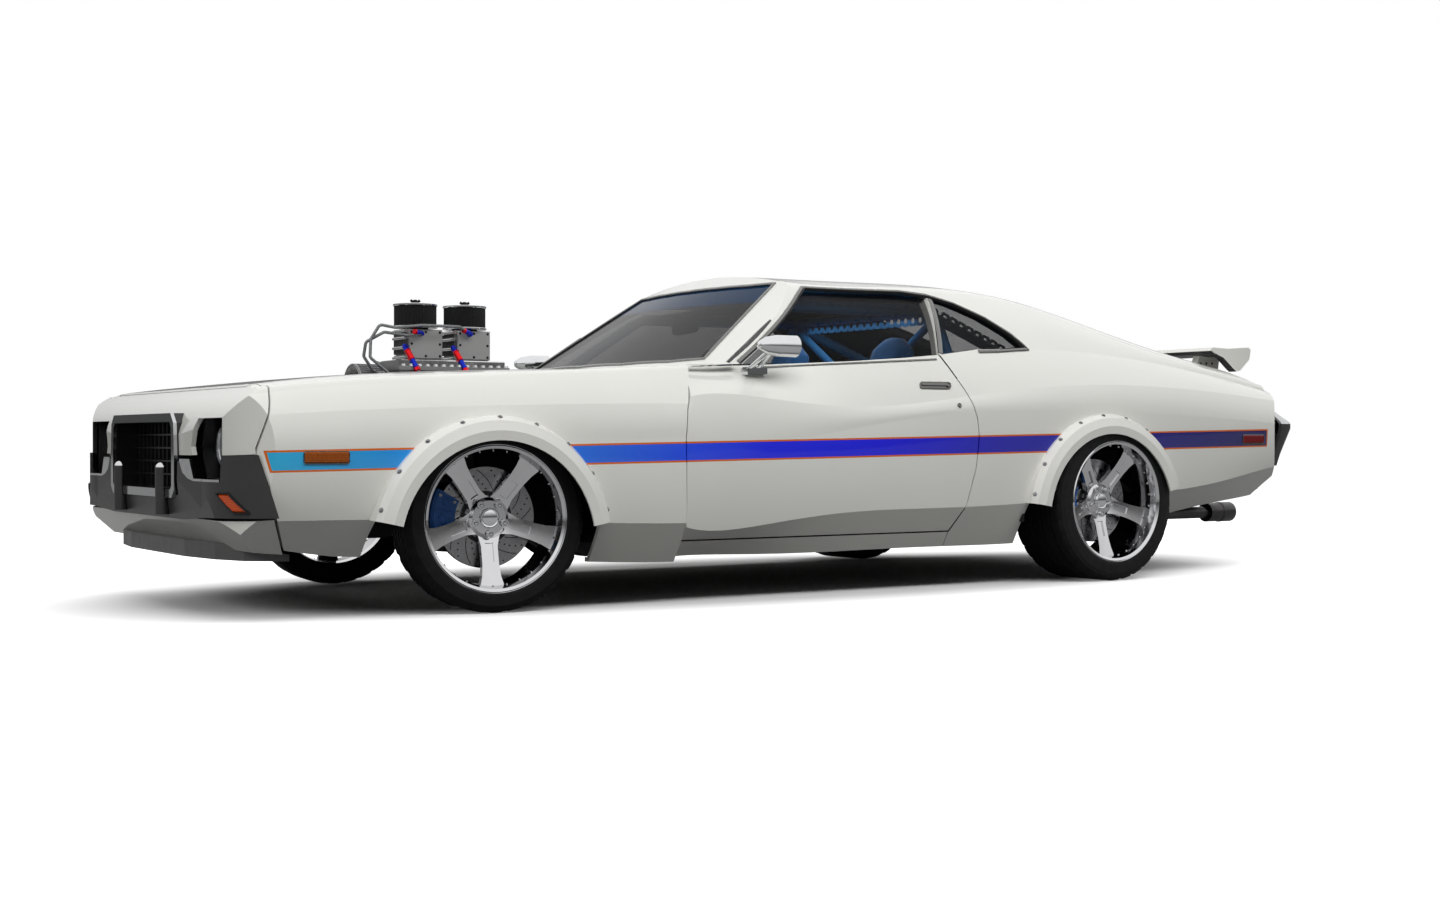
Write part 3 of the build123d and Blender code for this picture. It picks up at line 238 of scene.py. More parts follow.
studio()
area_light("overhead", (0.0, 0.0, 5.6), 9.0, 4.0, 20.0, (0, 0, 0))
area_light("left_box", (0.6, 5.8, 6.6), 10.0, 3.0, 530.0, (0, 0, 0.7))
area_light("right_box", (0.0, -4.6, 6.0), 10.0, 3.0, 160.0, (0, 0, 0.7))
area_light("front_box", (8.0, 1.5, 3.2), 3.0, 2.4, 100.0, (1.5, 0, 0.7))
area_light("rear_box", (-8.0, 0.0, 3.6), 3.0, 2.4, 70.0, (-1.5, 0, 0.7))
area_light("cabin_fill", (-0.45, 0.0, 1.16), 0.8, 0.9, 5.0, (-0.40, 0, 0.0))


def floor_finish():
    """White away from the car, shaded under it by the lamps and by a painted shadow, and throwing little
    light back up at the body.
    """
    s = Shader("floor_white", WHITE, 0.0, 0.9)
    ray = s.node("LightPath").outputs
    bounced = s.math("MAXIMUM", ray["Is Diffuse Ray"], ray["Is Glossy Ray"])
    # painted shadow: the white glow fades to nothing over an oval round the car, so the floor darkens near
    # the car whatever the lamps do
    painted_shadow_oval = s.node("Mapping")
    painted_shadow_oval.inputs["Scale"].default_value = (1 / 2.65, 1 / 1.12, 1.0)
    s.put(s.coords, painted_shadow_oval.inputs["Vector"])
    away = s.vector("LENGTH", painted_shadow_oval.outputs["Vector"])["Value"]
    glow = s.ramp(away, 0.80, 1.42, 0.0, 1.0, "SMOOTHSTEP")
    reflected = s.math("MULTIPLY_ADD", ray["Is Glossy Ray"], -0.78, 1.0)
    glow = s.math("MULTIPLY", glow, s.math("MULTIPLY", s.seen_directly(), reflected))
    s.set(Base_Color=s.ramp(bounced, 0.0, 1.0, 0.86, 0.15), Specular_IOR_Level=0.1, Emission_Color=WHITE,
          Emission_Strength=glow)
    return s.material


def floor_piece():
    mesh = bpy.data.meshes.new("floor")
    r = 60.0
    mesh.from_pydata([(-r, -r, 0), (r, -r, 0), (r, r, 0), (-r, r, 0)], [], [(0, 1, 2, 3)])
    obj = shown(bpy.data.objects.new("floor", mesh))
    mesh.materials.append(floor_finish())


floor_piece()

# ------------------------------------------------------------------ paint
PAINT = srgb(240, 240, 234)
PANEL_BACK = srgb(30, 30, 32)
BODY_MIDDLE = (-0.15, 0.0, 0.62)
FACES_IN = -0.12
STRIPE_COLOURS = [(-0.90, (40, 190, 240)), (-0.45, (40, 156, 240)), (0.35, (46, 112, 240)),
                  (0.75, (36, 76, 250)), (1.05, (28, 40, 248)), (1.60, (26, 26, 240)),
                  (2.20, (26, 26, 186)), (3.00, (22, 20, 134)), (3.90, (16, 12, 92))]
STRIPE_EDGE = srgb(226, 108, 0)
STRIPE_LINE = 0.0068
# the stripe's upper and lower lines: height at a station, and rise per metre
STRIPE_TOP = (0.578, -0.901, 0.018005)
STRIPE_LOW = (0.506, -0.885, 0.015827)
STRIPE_SLANT = 0.222
STRIPE_START = -0.901 + 0.578 * STRIPE_SLANT + 0.006
STRIPE_END = 3.922
STRIPE_INSIDE = 0.80


def add_stripe(s, colour):
    x, y, z = s.split(s.coords)
    station = s.math("SUBTRACT", FRONT_AXLE, x)
    first, last = STRIPE_COLOURS[0][0], STRIPE_COLOURS[-1][0]
    ramp = s.node("ValToRGB")
    elements = ramp.color_ramp.elements
    elements[0].color = srgb(*STRIPE_COLOURS[0][1])
    elements[1].color = srgb(*STRIPE_COLOURS[-1][1])
    for at, rgb in STRIPE_COLOURS[1:-1]:
        elements.new((at - first) / (last - first)).color = srgb(*rgb)
    s.put(s.ramp(station, first, last, 0.0, 1.0), ramp.inputs[0])
    top, low = [s.math("MULTIPLY_ADD", station, rise, z0 - s0 * rise)
                for z0, s0, rise in (STRIPE_TOP, STRIPE_LOW)]
    side = s.math("GREATER_THAN", s.math("ABSOLUTE", y), STRIPE_INSIDE)
    ahead = s.math("ADD", station, s.math("MULTIPLY_ADD", z, STRIPE_SLANT, 0.0))

    def band(margin):
        below = s.math("LESS_THAN", z, s.math("SUBTRACT", top, margin))
        above = s.math("GREATER_THAN", z, s.math("ADD", low, margin))
        start = s.math("GREATER_THAN", ahead, STRIPE_START + margin)
        end = s.math("LESS_THAN", station, STRIPE_END - margin)
        inside = s.math("MULTIPLY", s.math("MULTIPLY", below, above), start)
        return s.math("MULTIPLY", s.math("MULTIPLY", inside, end), side)

    return s.mix(band(STRIPE_LINE), s.mix(band(0.0), colour, STRIPE_EDGE), ramp.outputs[0])


def paint(name, striped):
    """White body paint, black on the inner faces of its panels."""
    s = Shader(name, PAINT, 0.0, 0.36)
    s.grain(s.noise(900.0, 2.0), 0.02, 0.0002)
    colour = s.mix(1.0, PAINT, s.grey(s.patches(2.2, 3.0, 0.97, 1.0)), "MULTIPLY")
    if striped:
        colour = add_stripe(s, colour)
    from_middle = s.vector("SUBTRACT", s.coords, BODY_MIDDLE)[0]
    across = s.vector("MULTIPLY", from_middle, (0.02, 1.0, 1.0))[0]
    facing_out = s.vector("DOT_PRODUCT", across, s.normal)["Value"]
    inner = s.math("LESS_THAN", facing_out, FACES_IN)
    s.set(Base_Color=s.mix(inner, colour, PANEL_BACK), Coat_Weight=s.math("SUBTRACT", 1.0, inner),
          Coat_Roughness=0.04, Coat_IOR=1.5)
    return s.material


# ------------------------------------------------------------------ other finishes
# heights, and distances ahead and from the middle, where a finish changes
REAR_BUMPER_TOP = 0.690
FRONT_BUMPER_TOP = 0.5175
FRONT_BUMPER_BRIGHT = 0.30
GRILLE_EDGE = 2.5640
COWL_TOP = 0.862
SCREEN_BAND = (1.168, 1.182)


def chrome(name, colour, roughness):
    return Shader(name, colour, 1.0, roughness).worn(30.0, roughness * 0.5).tone(14.0, 0.03).material


def plastic(name, level, roughness, grain_scale=900.0):
    s = Shader(name, srgb(*level), 0.0, roughness).worn(25.0, 0.06).tone(8.0, 0.06)
    return s.grain(s.noise(grain_scale, 2.0), 0.15, 0.0004).material


def two_tone(name, dark, bright, dark_roughness, is_bright):
    """Dark finish with bright metal where the given test of a point says so."""
    s = Shader(name, dark, 0.0, dark_roughness)
    metal = is_bright(s, *s.split(s.coords))
    shade = s.mix(s.patches(9.0, 4.0, 0.0, 1.0), times(dark, 0.9), dark)
    fine = s.patches(30.0, 4.0, -0.02, 0.02)
    s.set(Base_Color=s.mix(metal, shade, bright), Metallic=metal,
          Roughness=s.math("ADD", s.ramp(metal, 0.0, 1.0, dark_roughness, 0.09), fine))
    return s.material


def cowl(name):
    """Body colour on top of the cowl, black below it."""
    s = Shader(name, PAINT, 0.0, 0.36)
    high = s.math("GREATER_THAN", s.split(s.coords)[2], COWL_TOP)
    top = s.math("MULTIPLY", high, s.math("GREATER_THAN", s.split(s.normal)[2], 0.3))
    black = s.grey(s.patches(6.0, 4.0, 0.012, 0.02))
    s.set(Base_Color=s.mix(top, black, PAINT), Coat_Weight=top, Coat_Roughness=0.04)
    return s.material


def glass(name, colour, alpha, shine, band_colour=None, band_alpha=1.0):
    """Tinted glass, with a darker band along the top when one is given."""
    s = Shader(name, colour, 0.0, 0.03)
    s.set(Alpha=alpha, Specular_IOR_Level=shine)
    s.worn(3.0, 0.015)
    if band_colour:
        edge = s.ramp(s.split(s.coords)[2], *SCREEN_BAND, 0.0, 1.0)
        s.set(Base_Color=s.mix(edge, colour, band_colour), Alpha=s.ramp(edge, 0.0, 1.0, alpha, band_alpha))
    s.material.surface_render_method = "BLENDED"
    return s.material


def lens(name, rgb):
    colour = srgb(*rgb)
    s = Shader(name, colour, 0.0, 0.12)
    wave = s.node("TexWave", wave_type="BANDS", bands_direction="Z")
    wave.inputs["Scale"].default_value = 60.0
    s.put(s.coords, wave.inputs["Vector"])
    s.grain(wave.outputs["Fac"], 0.4, 0.001)
    value = s.ramp(wave.outputs["Fac"], 0.0, 1.0, 0.0, 1.0)
    s.set(Coat_Weight=0.3, Coat_Roughness=0.05, Specular_IOR_Level=0.2,
          Base_Color=s.mix(value, times(colour, 0.7), colour))
    return s.material


def rubber(name):
    s = Shader(name, srgb(20, 20, 21), 0.0, 0.7).set(Specular_IOR_Level=0.3).worn(30.0, 0.08).tone(14.0, 0.12)
    return s.grain(s.noise(700.0, 3.0), 0.12, 0.0004).material


def cloth(name, rgb):
    s = Shader(name, srgb(*rgb), 0.0, 0.85).set(Sheen_Weight=0.4, Sheen_Roughness=0.4).tone(30.0, 0.12)
    weave = s.node("TexBrick")
    weave.inputs["Scale"].default_value = 220.0
    s.put(s.coords, weave.inputs["Vector"])
    return s.grain(weave.outputs["Fac"], 0.25, 0.0006).material


LOOK = {
    "paint_white": paint("paint_white", False),
    "paint_striped": paint("paint_striped", True),
    "cowl_finish": cowl("cowl_finish"),
    "rear_bumper_finish": two_tone("rear_bumper_finish", srgb(60, 60, 61), srgb(196, 197, 199), 0.36,
                                   lambda s, x, y, z: s.math("GREATER_THAN", z, REAR_BUMPER_TOP)),
    "front_bumper_finish": two_tone(
        "front_bumper_finish", srgb(60, 60, 60), srgb(215, 216, 218), 0.34,
        lambda s, x, y, z: s.math("MULTIPLY", s.math("GREATER_THAN", z, FRONT_BUMPER_TOP),
                                  s.math("LESS_THAN", s.math("ABSOLUTE", y), FRONT_BUMPER_BRIGHT))),
    "grille_finish": two_tone("grille_finish", srgb(30, 30, 31), srgb(208, 209, 211), 0.3,
                              lambda s, x, y, z: s.math("GREATER_THAN", x, GRILLE_EDGE)),
    "side_glass": glass("side_glass", srgb(16, 18, 20), 0.38, 0.09),
    "screen_glass": glass("screen_glass", srgb(60, 60, 61), 0.68, 0.05, srgb(16, 50, 84), 0.92),
    "lens_glass": glass("lens_glass", srgb(225, 230, 232), 0.3, 0.6),
    "tyre_rubber": rubber("tyre_rubber"),
    "hose_braid": Shader("hose_braid", srgb(132, 134, 136), 0.8, 0.38).tone(260.0, 0.4, 2.0).material,
    "black_bolt": Shader("black_bolt", srgb(26, 26, 28), 0.6, 0.35).worn(200.0, 0.1).material,
    "bulb_white": Shader("bulb_white", srgb(220, 220, 214), 0.0, 0.25).tone(80.0, 0.05).material,
}
for name, rgb, roughness in (
        ("chrome_bright", (225, 226, 228), 0.06), ("wheel_chrome", (214, 214, 216), 0.08),
        ("steel_grey", (150, 150, 152), 0.28), ("moulding_grey", (132, 132, 130), 0.22),
        ("handle_metal", (120, 120, 118), 0.2), ("bright_rib", (222, 222, 222), 0.14)):
    LOOK[name] = chrome(name, srgb(*rgb), roughness)
for name, *numbers in (
        ("bumper_grey", (62, 62, 62), 0.42), ("splitter_grey", (98, 98, 98), 0.4),
        ("under_black", (22, 22, 23), 0.75), ("frame_black", (28, 28, 30), 0.5),
        ("lamp_black", (20, 20, 21), 0.35), ("interior_black", (24, 24, 26), 0.7, 500.0),
        ("grille_black", (24, 24, 25), 0.35), ("rubber_seal", (30, 30, 31), 0.6),
        ("dash_grain", (26, 26, 28), 0.6, 700.0), ("dark_slot", (60, 60, 60), 0.5)):
    LOOK[name] = plastic(name, *numbers)
# colour, metallic, roughness, then scale and spread of the wear and of the tone
for name, rgb, metallic, roughness, worn, tone in (
        ("blower_alloy", (158, 158, 158), 0.5, 0.36, (40, 0.04), (30, 0.03)),
        ("alloy_plate", (166, 166, 166), 0.5, 0.42, (20, 0.04), (120, 0.02)),
        ("engine_iron", (60, 62, 66), 0.7, 0.5, (40, 0.12), (20, 0.15)),
        ("tank_steel", (92, 92, 94), 0.85, 0.45, (30, 0.1), (12, 0.12)),
        ("exhaust_steel", (78, 76, 76), 0.9, 0.36, (30, 0.1), (9, 0.15)),
        ("cage_blue", (44, 118, 178), 0.0, 0.3, (40, 0.05), (6, 0.05)),
        ("caliper_blue", (22, 96, 176), 0.0, 0.35, (60, 0.08), (20, 0.06)),
        ("filter_black", (20, 20, 21), 0.0, 0.7, (120, 0.1), (120, 0.2)),
        ("fitting_blue", (24, 44, 190), 0.75, 0.28, (80, 0.05), (60, 0.08)),
        ("fitting_red", (232, 26, 34), 0.75, 0.28, (80, 0.05), (60, 0.08)),
        ("pillar_black", (26, 28, 30), 0.0, 0.12, (12, 0.04), (6, 0.1))):
    LOOK[name] = Shader(name, srgb(*rgb), metallic, roughness).worn(*worn).tone(*tone).material
for name, rgb in (("amber_lens", (170, 84, 4)), ("orange_lens", (226, 84, 4)), ("red_lens", (120, 16, 22)),
                  ("red_marker", (132, 14, 22))):
    LOOK[name] = lens(name, rgb)
for name, rgb in (("seat_cloth", (34, 104, 168)), ("carpet", (26, 26, 28)), ("bench_cloth", (30, 30, 32))):
    LOOK[name] = cloth(name, rgb)

SLOT_LOOK = {
    "paint": "paint_white", "chrome": "wheel_chrome", "tinted_glass": "side_glass", "tyre": "tyre_rubber",
    "disc_steel": "steel_grey", "lamp_red": "red_lens",
}
NODE_LOOK = {
    "front_fenders": "paint_striped", "door_left": "paint_striped", "door_right": "paint_striped",
    "quarter_panels": "paint_striped", "windscreen": "screen_glass", "mirror_left": "chrome_bright",
    "mirror_right": "chrome_bright", "floor_pan": "carpet", "bumper_trim": "chrome_bright",
    "grille": "grille_finish", "rear_bumper": "rear_bumper_finish", "front_bumper": "front_bumper_finish",
    "firewall": "cowl_finish", "dashboard": "dash_grain",
}
slot_of = {s["node"]: s["material_slot"] for s in frame["record"]["subparts"]}
for name, obj in frame["nodes"].items():
    slot = slot_of[name]
    chosen = LOOK[NODE_LOOK.get(name) or SLOT_LOOK.get(slot, slot)]
    if not obj.material_slots:
        obj.data.materials.append(chosen)
    for held in obj.material_slots:
        held.material = chosen


# ------------------------------------------------------------------ mesh helpers
def soft_edges(obj, angle):
    """Smooth shading, with edges sharper than the angle kept crisp."""
    b = bmesh.new()
    b.from_mesh(obj.data)
    bmesh.ops.recalc_face_normals(b, faces=b.faces)
    limit = math.radians(angle)
    for f in b.faces:
        f.smooth = True
    for e in b.edges:
        e.smooth = len(e.link_faces) == 2 and e.calc_face_angle(0.0) < limit
    b.to_mesh(obj.data)
    b.free()


def raw_object(name, verts, faces):
    mesh = bpy.data.meshes.new(name)
    mesh.from_pydata([tuple(v) for v in verts], [], faces)
    return shown(bpy.data.objects.new(name, mesh))


class Shape:
    """Collects verts and faces of several simple solids into one mesh."""

    def __init__(self, verts=(), faces=()):
        self.verts = [Vector(v) for v in verts]
        self.faces = [list(f) for f in faces]

    def add(self, verts, faces, at=None):
        """Adds a solid, moved by a matrix or by a place when one is given."""
        n = len(self.verts)
        if isinstance(at, Vector):
            at = Matrix.Translation(at)
        self.verts += [at @ Vector(v) if at else Vector(v) for v in verts]
        self.faces += [[i + n for i in f] for f in faces]
        return self

    def turn(self, at, profile, steps, closed=False):
        """Adds a turned solid."""
        return self.add(*turned(profile, steps, closed), at)

    def bar(self, points, section, **more):
        """Adds a section swept along points."""
        return self.add(*swept(points, section, **more))

    def moved(self, matrix):
        self.verts = [matrix @ v for v in self.verts]
        if matrix.to_3x3().determinant() < 0:
            self.faces = [f[::-1] for f in self.faces]
        return self

    def reflected(self):
        return Shape([(v.x, -v.y, v.z) for v in self.verts], [f[::-1] for f in self.faces])

    def mirrored(self):
        """The same shape on the right-hand side as well."""
        other = self.reflected()
        return self.add(other.verts, other.faces)

    def piece(self, name, look, slot=None, smooth=35, body="body"):
        obj = raw_object(name, self.verts, self.faces)
        obj.data.validate()
        obj.data.materials.append(LOOK[look])
        soft_edges(obj, smooth)
        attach(obj, body)
        return obj

    def pair(self, name, look, slot, smooth, body):
        """A piece on a left-hand body and its mirror image on the right-hand one."""
        other = self.reflected()
        self.piece(name + "_left", look, slot, smooth, body + "_left")
        other.piece(name + "_right", look, slot, smooth, body + "_right")


def turned(profile, steps, closed=False):
    """Rings round +Z through (radius, height) points; a radius of 0 closes an end."""
    verts, faces, rings = [], [], []
    for r, h in profile:
        n = len(verts)
        if r < 1e-6:
            rings.append([n] * steps)
            verts.append(Vector((0, 0, h)))
        else:
            rings.append([n + i for i in range(steps)])
            verts += [polar(r, a, h) for a in around(steps)]
    pairs = list(zip(rings, rings[1:]))
    if closed:
        pairs.append((rings[-1], rings[0]))
    for low, high in pairs:
        for i in range(steps):
            j = (i + 1) % steps
            face = [low[i], low[j], high[j], high[i]]
            face = [v for k, v in enumerate(face) if v not in face[:k]]
            if len(face) > 2:
                faces.append(face)
    return verts, faces


def facing(place, direction, spin=0.0):
    """Matrix that puts +Z along the direction, at the place."""
    turn = Vector(direction).normalized().to_track_quat("Z", "Y").to_matrix().to_4x4()
    return Matrix.Translation(Vector(place)) @ turn @ Matrix.Rotation(spin, 4, "Z")


def bolt(shape, place, direction, radius, height, washer=1.45, spin=0.0):
    """Hexagon head with a chamfered crown on a washer."""
    m = facing(place, direction, spin)
    shape.turn(m, [(0, height), (radius * 0.8, height), (radius, height * 0.75), (radius, height * 0.2)], 6)
    w = radius * washer
    shape.turn(m, [(0, height * 0.3), (w * 0.92, height * 0.3), (w, height * 0.16), (w, -height * 0.3)], 16)


def dome_profile(radius, height, count, foot=0.0):
    """Quarter of an oval from the top down, as (radius, height) points."""
    turns = [math.pi / 2 * i / count for i in range(1, count + 1)]
    return [(0, foot + height)] + [(radius * math.sin(a), foot + height * math.cos(a)) for a in turns]


def strips(rings, k, closed=False):
    """Faces between rings of k points each, numbered one ring after another."""
    faces = []
    for i in range(rings if closed else rings - 1):
        j = (i + 1) % rings
        for q in range(k):
            w = (q + 1) % k
            faces.append([i * k + q, i * k + w, j * k + w, j * k + q])
    return faces


def swept(points, section, closed=False, up=(0, 0, 1)):
    """Sweeps a section of (side, up) points along a line of points; side is to the right of travel."""
    pts = [Vector(p) for p in points]
    n = len(pts)
    verts = []
    k = len(section)
    for i, p in enumerate(pts):
        a = pts[(i - 1) % n] if closed or i else pts[i]
        b = pts[(i + 1) % n] if closed or i < n - 1 else pts[i]
        t = (b - a).normalized()
        u = up[i] if isinstance(up, list) else Vector(up)
        side = t.cross(u).normalized()
        lift = side.cross(t).normalized()
        verts += [p + side * su + lift * uu for su, uu in section]
    faces = strips(n, k, closed)
    if not closed:
        faces += [list(range(k)), [(n - 1) * k + q for q in reversed(range(k))]]
    return verts, faces


def lofted(sections):
    """Closed skin through rings of points."""
    n, k = len(sections), len(sections[0])
    ends = [list(reversed(range(k))), [(n - 1) * k + j for j in range(k)]]
    return [v for ring in sections for v in ring], strips(n, k) + ends


def curved(points, per_span):
    """Smooth points through the given ones (Catmull-Rom)."""
    pts = [Vector(p) for p in points]
    pts = [pts[0] * 2 - pts[1]] + pts + [pts[-1] * 2 - pts[-2]]
    out = []
    for p0, p1, p2, p3 in zip(pts, pts[1:], pts[2:], pts[3:]):
        for j in range(per_span):
            t = j / per_span
            out.append(0.5 * ((2 * p1) + (p2 - p0) * t + (2 * p0 - 5 * p1 + 4 * p2 - p3) * t * t
                              + (3 * p1 - p0 - 3 * p2 + p3) * t ** 3))
    return out + [pts[-2]]


def round_section(radius, steps):
    return [polar(radius, a)[:2] for a in around(steps)]


def trapezium(half, low, half_top, high):
    """Section for a bar with leaning sides."""
    return [(-half, low), (half, low), (half_top, high), (-half_top, high)]


def chamfered(half, low, high, cut=0.004, drop=0.004):
    """Section for a bar with its upper edges cut."""
    return [(-half, low), (half, low), (half, high - drop), (half - cut, high), (cut - half, high),
            (-half, high - drop)]


def grid_faces(rows, columns):
    k = columns + 1
    return [[r * k + c, r * k + c + 1, (r + 1) * k + c + 1, (r + 1) * k + c]
            for r in range(rows) for c in range(columns)]


# ------------------------------------------------------------------ places on CAD surfaces
surfaces = {}


def surface_of(node):
    """A search tree of a CAD node's surface, for pieces that lie on it."""
    if node not in surfaces:
        mesh = frame["nodes"][node].data
        mesh.calc_loop_triangles()
        surfaces[node] = BVHTree.FromPolygons([v.co.copy() for v in mesh.vertices],
                                              [tuple(t.vertices) for t in mesh.loop_triangles])
    return surfaces[node]


def on_surface(nodes, origin, direction):
    """Nearest hit on the nodes from a point along a direction: (place, outward normal), or None."""
    origin, direction = Vector(origin), Vector(direction)
    best = None
    for node in nodes:
        place, normal = surface_of(node).ray_cast(origin, direction)[:2]
        if place is not None and (best is None or (place - origin).length < (best[0] - origin).length):
            best = place, -normal if normal.dot(direction) > 0 else normal
    return best


def side_hit(node, s, z):
    """Where the left side's outer surface lies at a station and height."""
    return on_surface((node,), P(s, 1400, z), (0, -1, 0))


def down_on(node, s, y, start=1500):
    """What lies below a station and a distance from the middle."""
    return on_surface((node,), P(s, y, start), (0, 0, -1))


def found(hits):
    return [hit for hit in hits if hit]


def surface_frame(place, normal, along):
    """Matrix with +Z on the normal and +X as near as it can be to along."""
    z = Vector(normal).normalized()
    x = (Vector(along) - z * Vector(along).dot(z)).normalized()
    return Matrix.Translation(Vector(place)) @ Matrix((x, z.cross(x), z)).transposed().to_4x4()


def on_side(node, s, z):
    """Frame on the left side: +X backwards, +Y up, +Z outwards."""
    return surface_frame(*side_hit(node, s, z), (-1, 0, 0))


def laid(shape, hits, width, height, closed=False):
    """A moulding along hits on a surface."""
    w, h = width / 2, height
    section = [(-w, -0.003), (-w, h * 0.5), (-w * 0.62, h), (w * 0.62, h), (w, h * 0.5), (w, -0.003)]
    return shape.bar([place for place, normal in hits], section, closed=closed,
                     up=[normal for place, normal in hits])


def spread(points, step, closed=False):
    """Points at about even steps along straight lines through the given (x, y) ones."""
    points = [Vector((x, y, 0)) for x, y in points]
    out = []
    n = len(points)
    for i in range(n if closed else n - 1):
        a, b = points[i], points[(i + 1) % n]
        count = max(1, int((b - a).length / step))
        out += [a.lerp(b, j / count) for j in range(count)]
    return out if closed else out + [points[-1]]


# ------------------------------------------------------------------ flat plates
def inset(outline, margin):
    """Moves a counter-clockwise outline inwards."""
    n = len(outline)
    out = []
    for i in range(n):
        a, b, c = outline[i - 1], outline[i], outline[(i + 1) % n]
        nx, ny = [], []
        for p, q in ((a, b), (b, c)):
            length = math.hypot(q[0] - p[0], q[1] - p[1])
            nx.append(-(q[1] - p[1]) / length)
            ny.append((q[0] - p[0]) / length)
        share = 1 + nx[0] * nx[1] + ny[0] * ny[1]
        out.append((b[0] + margin * (nx[0] + nx[1]) / share, b[1] + margin * (ny[0] + ny[1]) / share))
    return out


def raised(outline, z):
    return [Vector((x, y, z)) for x, y in outline]


def plate(outline, depth, bevel=0.001, foot=0.0):
    """Flat plate on a counter-clockwise (x, y) outline, its top edge bevelled."""
    n = len(outline)
    verts = raised(outline, foot) + raised(outline, depth - bevel) + raised(inset(outline, bevel), depth)
    return verts, [list(reversed(range(n)))] + strips(3, n) + [[2 * n + i for i in range(n)]]


def rim_plate(outer, inner, depth, bevel=0.001, foot=0.0):
    """Flat ring between two outlines with the same number of points."""
    verts = raised(outer, foot) + raised(outer, depth - bevel) + raised(inset(outer, bevel), depth)
    verts += raised(inset(inner, -bevel), depth) + raised(inner, depth - bevel) + raised(inner, foot)
    return verts, strips(6, len(outer), True)


def rounded(width, height, radius, steps=5, skew=0.0):
    """Rounded rectangle round the origin; skew leans its sides."""
    out = []
    for cx, cy, start in ((1, 1, 0), (-1, 1, 90), (-1, -1, 180), (1, -1, 270)):
        for i in range(steps + 1):
            a = math.radians(start + 90 * i / steps)
            x = cx * (width / 2 - radius) + radius * math.cos(a)
            y = cy * (height / 2 - radius) + radius * math.sin(a)
            out.append((x + skew * y, y))
    return out


# ------------------------------------------------------------------ wheels
def wheel_matrix(end, side):
    """From a wheel's own frame (outward +Z, up +Y) to the car."""
    axle = FRONT_AXLE if end == "front" else FRONT_AXLE - WHEELBASE
    m = Matrix(((-1, 0, 0, axle), (0, 0, 1, WHEEL_LIP[end]), (0, 1, 0, TYRE_RADIUS[end]), (0, 0, 0, 1)))
    if side == "right":
        m = Matrix.Diagonal((1, -1, 1, 1)) @ m
    if end == "front":
        pin = Matrix.Translation((KINGPIN[0], KINGPIN[1] if side == "left" else -KINGPIN[1], 0))
        m = pin @ Matrix.Rotation(STEER, 4, "Z") @ pin.inverted() @ m
    return m


TREAD_STEPS = 180
GROOVES = 4
GROOVE_DEPTH = 0.0085
GROOVE_HALF = 0.0052
SHOULDER_CUT = 0.0055


def tyre_shape(radius, width):
    """Tyre with tread grooves, cut shoulder blocks and a stepped side wall."""
    wall = radius - RIM
    crown = radius - 0.0004
    floor = crown - GROOVE_DEPTH
    side = [(RIM - 0.008, -0.003), (RIM + 0.001, 0.004), (RIM + 0.006, 0.0065), (RIM + 0.012, 0.0062),
            (RIM + 0.013, 0.0078), (RIM + wall * 0.45, 0.0079), (RIM + wall * 0.62, 0.0068),
            (RIM + wall * 0.63, 0.0056), (radius - 0.017, 0.0020), (radius - 0.0165, 0.0012),
            (radius - 0.008, -0.0055), (radius - 0.003, -0.012)]
    profile = side + [(crown, -0.028)]
    for i in range(GROOVES):
        centre = -0.030 - (width - 0.060) * (i + 0.5) / GROOVES
        profile += [(crown, centre + GROOVE_HALF + 0.001), (floor, centre + GROOVE_HALF - 0.001),
                    (floor, centre - GROOVE_HALF + 0.001), (crown, centre - GROOVE_HALF - 0.001)]
    profile += [(crown, -width + 0.028)] + [(r, -width - h) for r, h in reversed(side)]
    verts, faces = turned(profile, TREAD_STEPS, True)
    k = 1 - SHOULDER_CUT / radius
    for ring, (r, h) in enumerate(profile):
        if r > radius - 0.014 and (h > -0.034 or h < -width + 0.034):
            for i in range(TREAD_STEPS):
                if i % 6 == 0 or i % 6 == 1 and ring % 2 == 0:
                    v = verts[ring * TREAD_STEPS + i]
                    verts[ring * TREAD_STEPS + i] = Vector((v.x * k, v.y * k, v.z))
    return verts, faces


def nuts_and_cap(hub):
    nuts = Shape()
    for i in range(5):
        at = polar(0.057, math.radians(-90 + 72 * i), hub)
        nuts.turn(at, [(0, 0.021), (0.005, 0.0205), (0.0072, 0.018), (0.0082, 0.014), (0.0082, 0.004)], 6)
        nuts.turn(at, [(0.0135, 0.012), (0.0135, 0.0165), (0.0115, 0.0165), (0.0105, 0.012)], 24, True)
    return nuts.turn(Vector((0, 0, hub)), [(0.0, 0.0155), (0.018, 0.0148), (0.027, 0.0125), (0.0285, 0.0105),
                                           (0.0325, 0.0118), (0.036, 0.0095), (0.0375, 0.006),
                                           (0.0375, 0.001)], 48)


def barrel_bolts():
    ring = Shape()
    for a in around(30, 0.5):
        bolt(ring, polar(RIM - 0.0222, a, -0.036), -polar(1, a, -0.25), 0.0036, 0.0045, 1.3)
    return ring


def valve():
    a = math.radians(-54)
    return Shape().turn(facing(polar(RIM - 0.024, a, -0.075), -polar(1, a, -0.8)),
                        [(0, 0.026), (0.004, 0.026), (0.0044, 0.016), (0.0034, 0.015), (0.0034, 0.006),
                         (0.007, 0.003), (0.007, 0.0)], 14)


def disc_drilling(face):
    """Rows of holes and the slots between them, as black marks on the disc face: painted shade for their
    hollows.
    """
    holes = Shape()
    for start, between in zip(around(12), around(12, 0.5)):
        for j in range(5):
            at = polar(0.104 + 0.0165 * j, start + 0.10 * j, face)
            holes.turn(at, [(0, 0.0004), (0.0031, 0.0004), (0.0034, -0.0005)], 12)
        holes.bar([polar(0.102 + 0.012 * j, between + 0.075 * j, face) for j in range(7)],
                  trapezium(0.0014, -0.0004, 0.0014, 0.0004))
    return holes


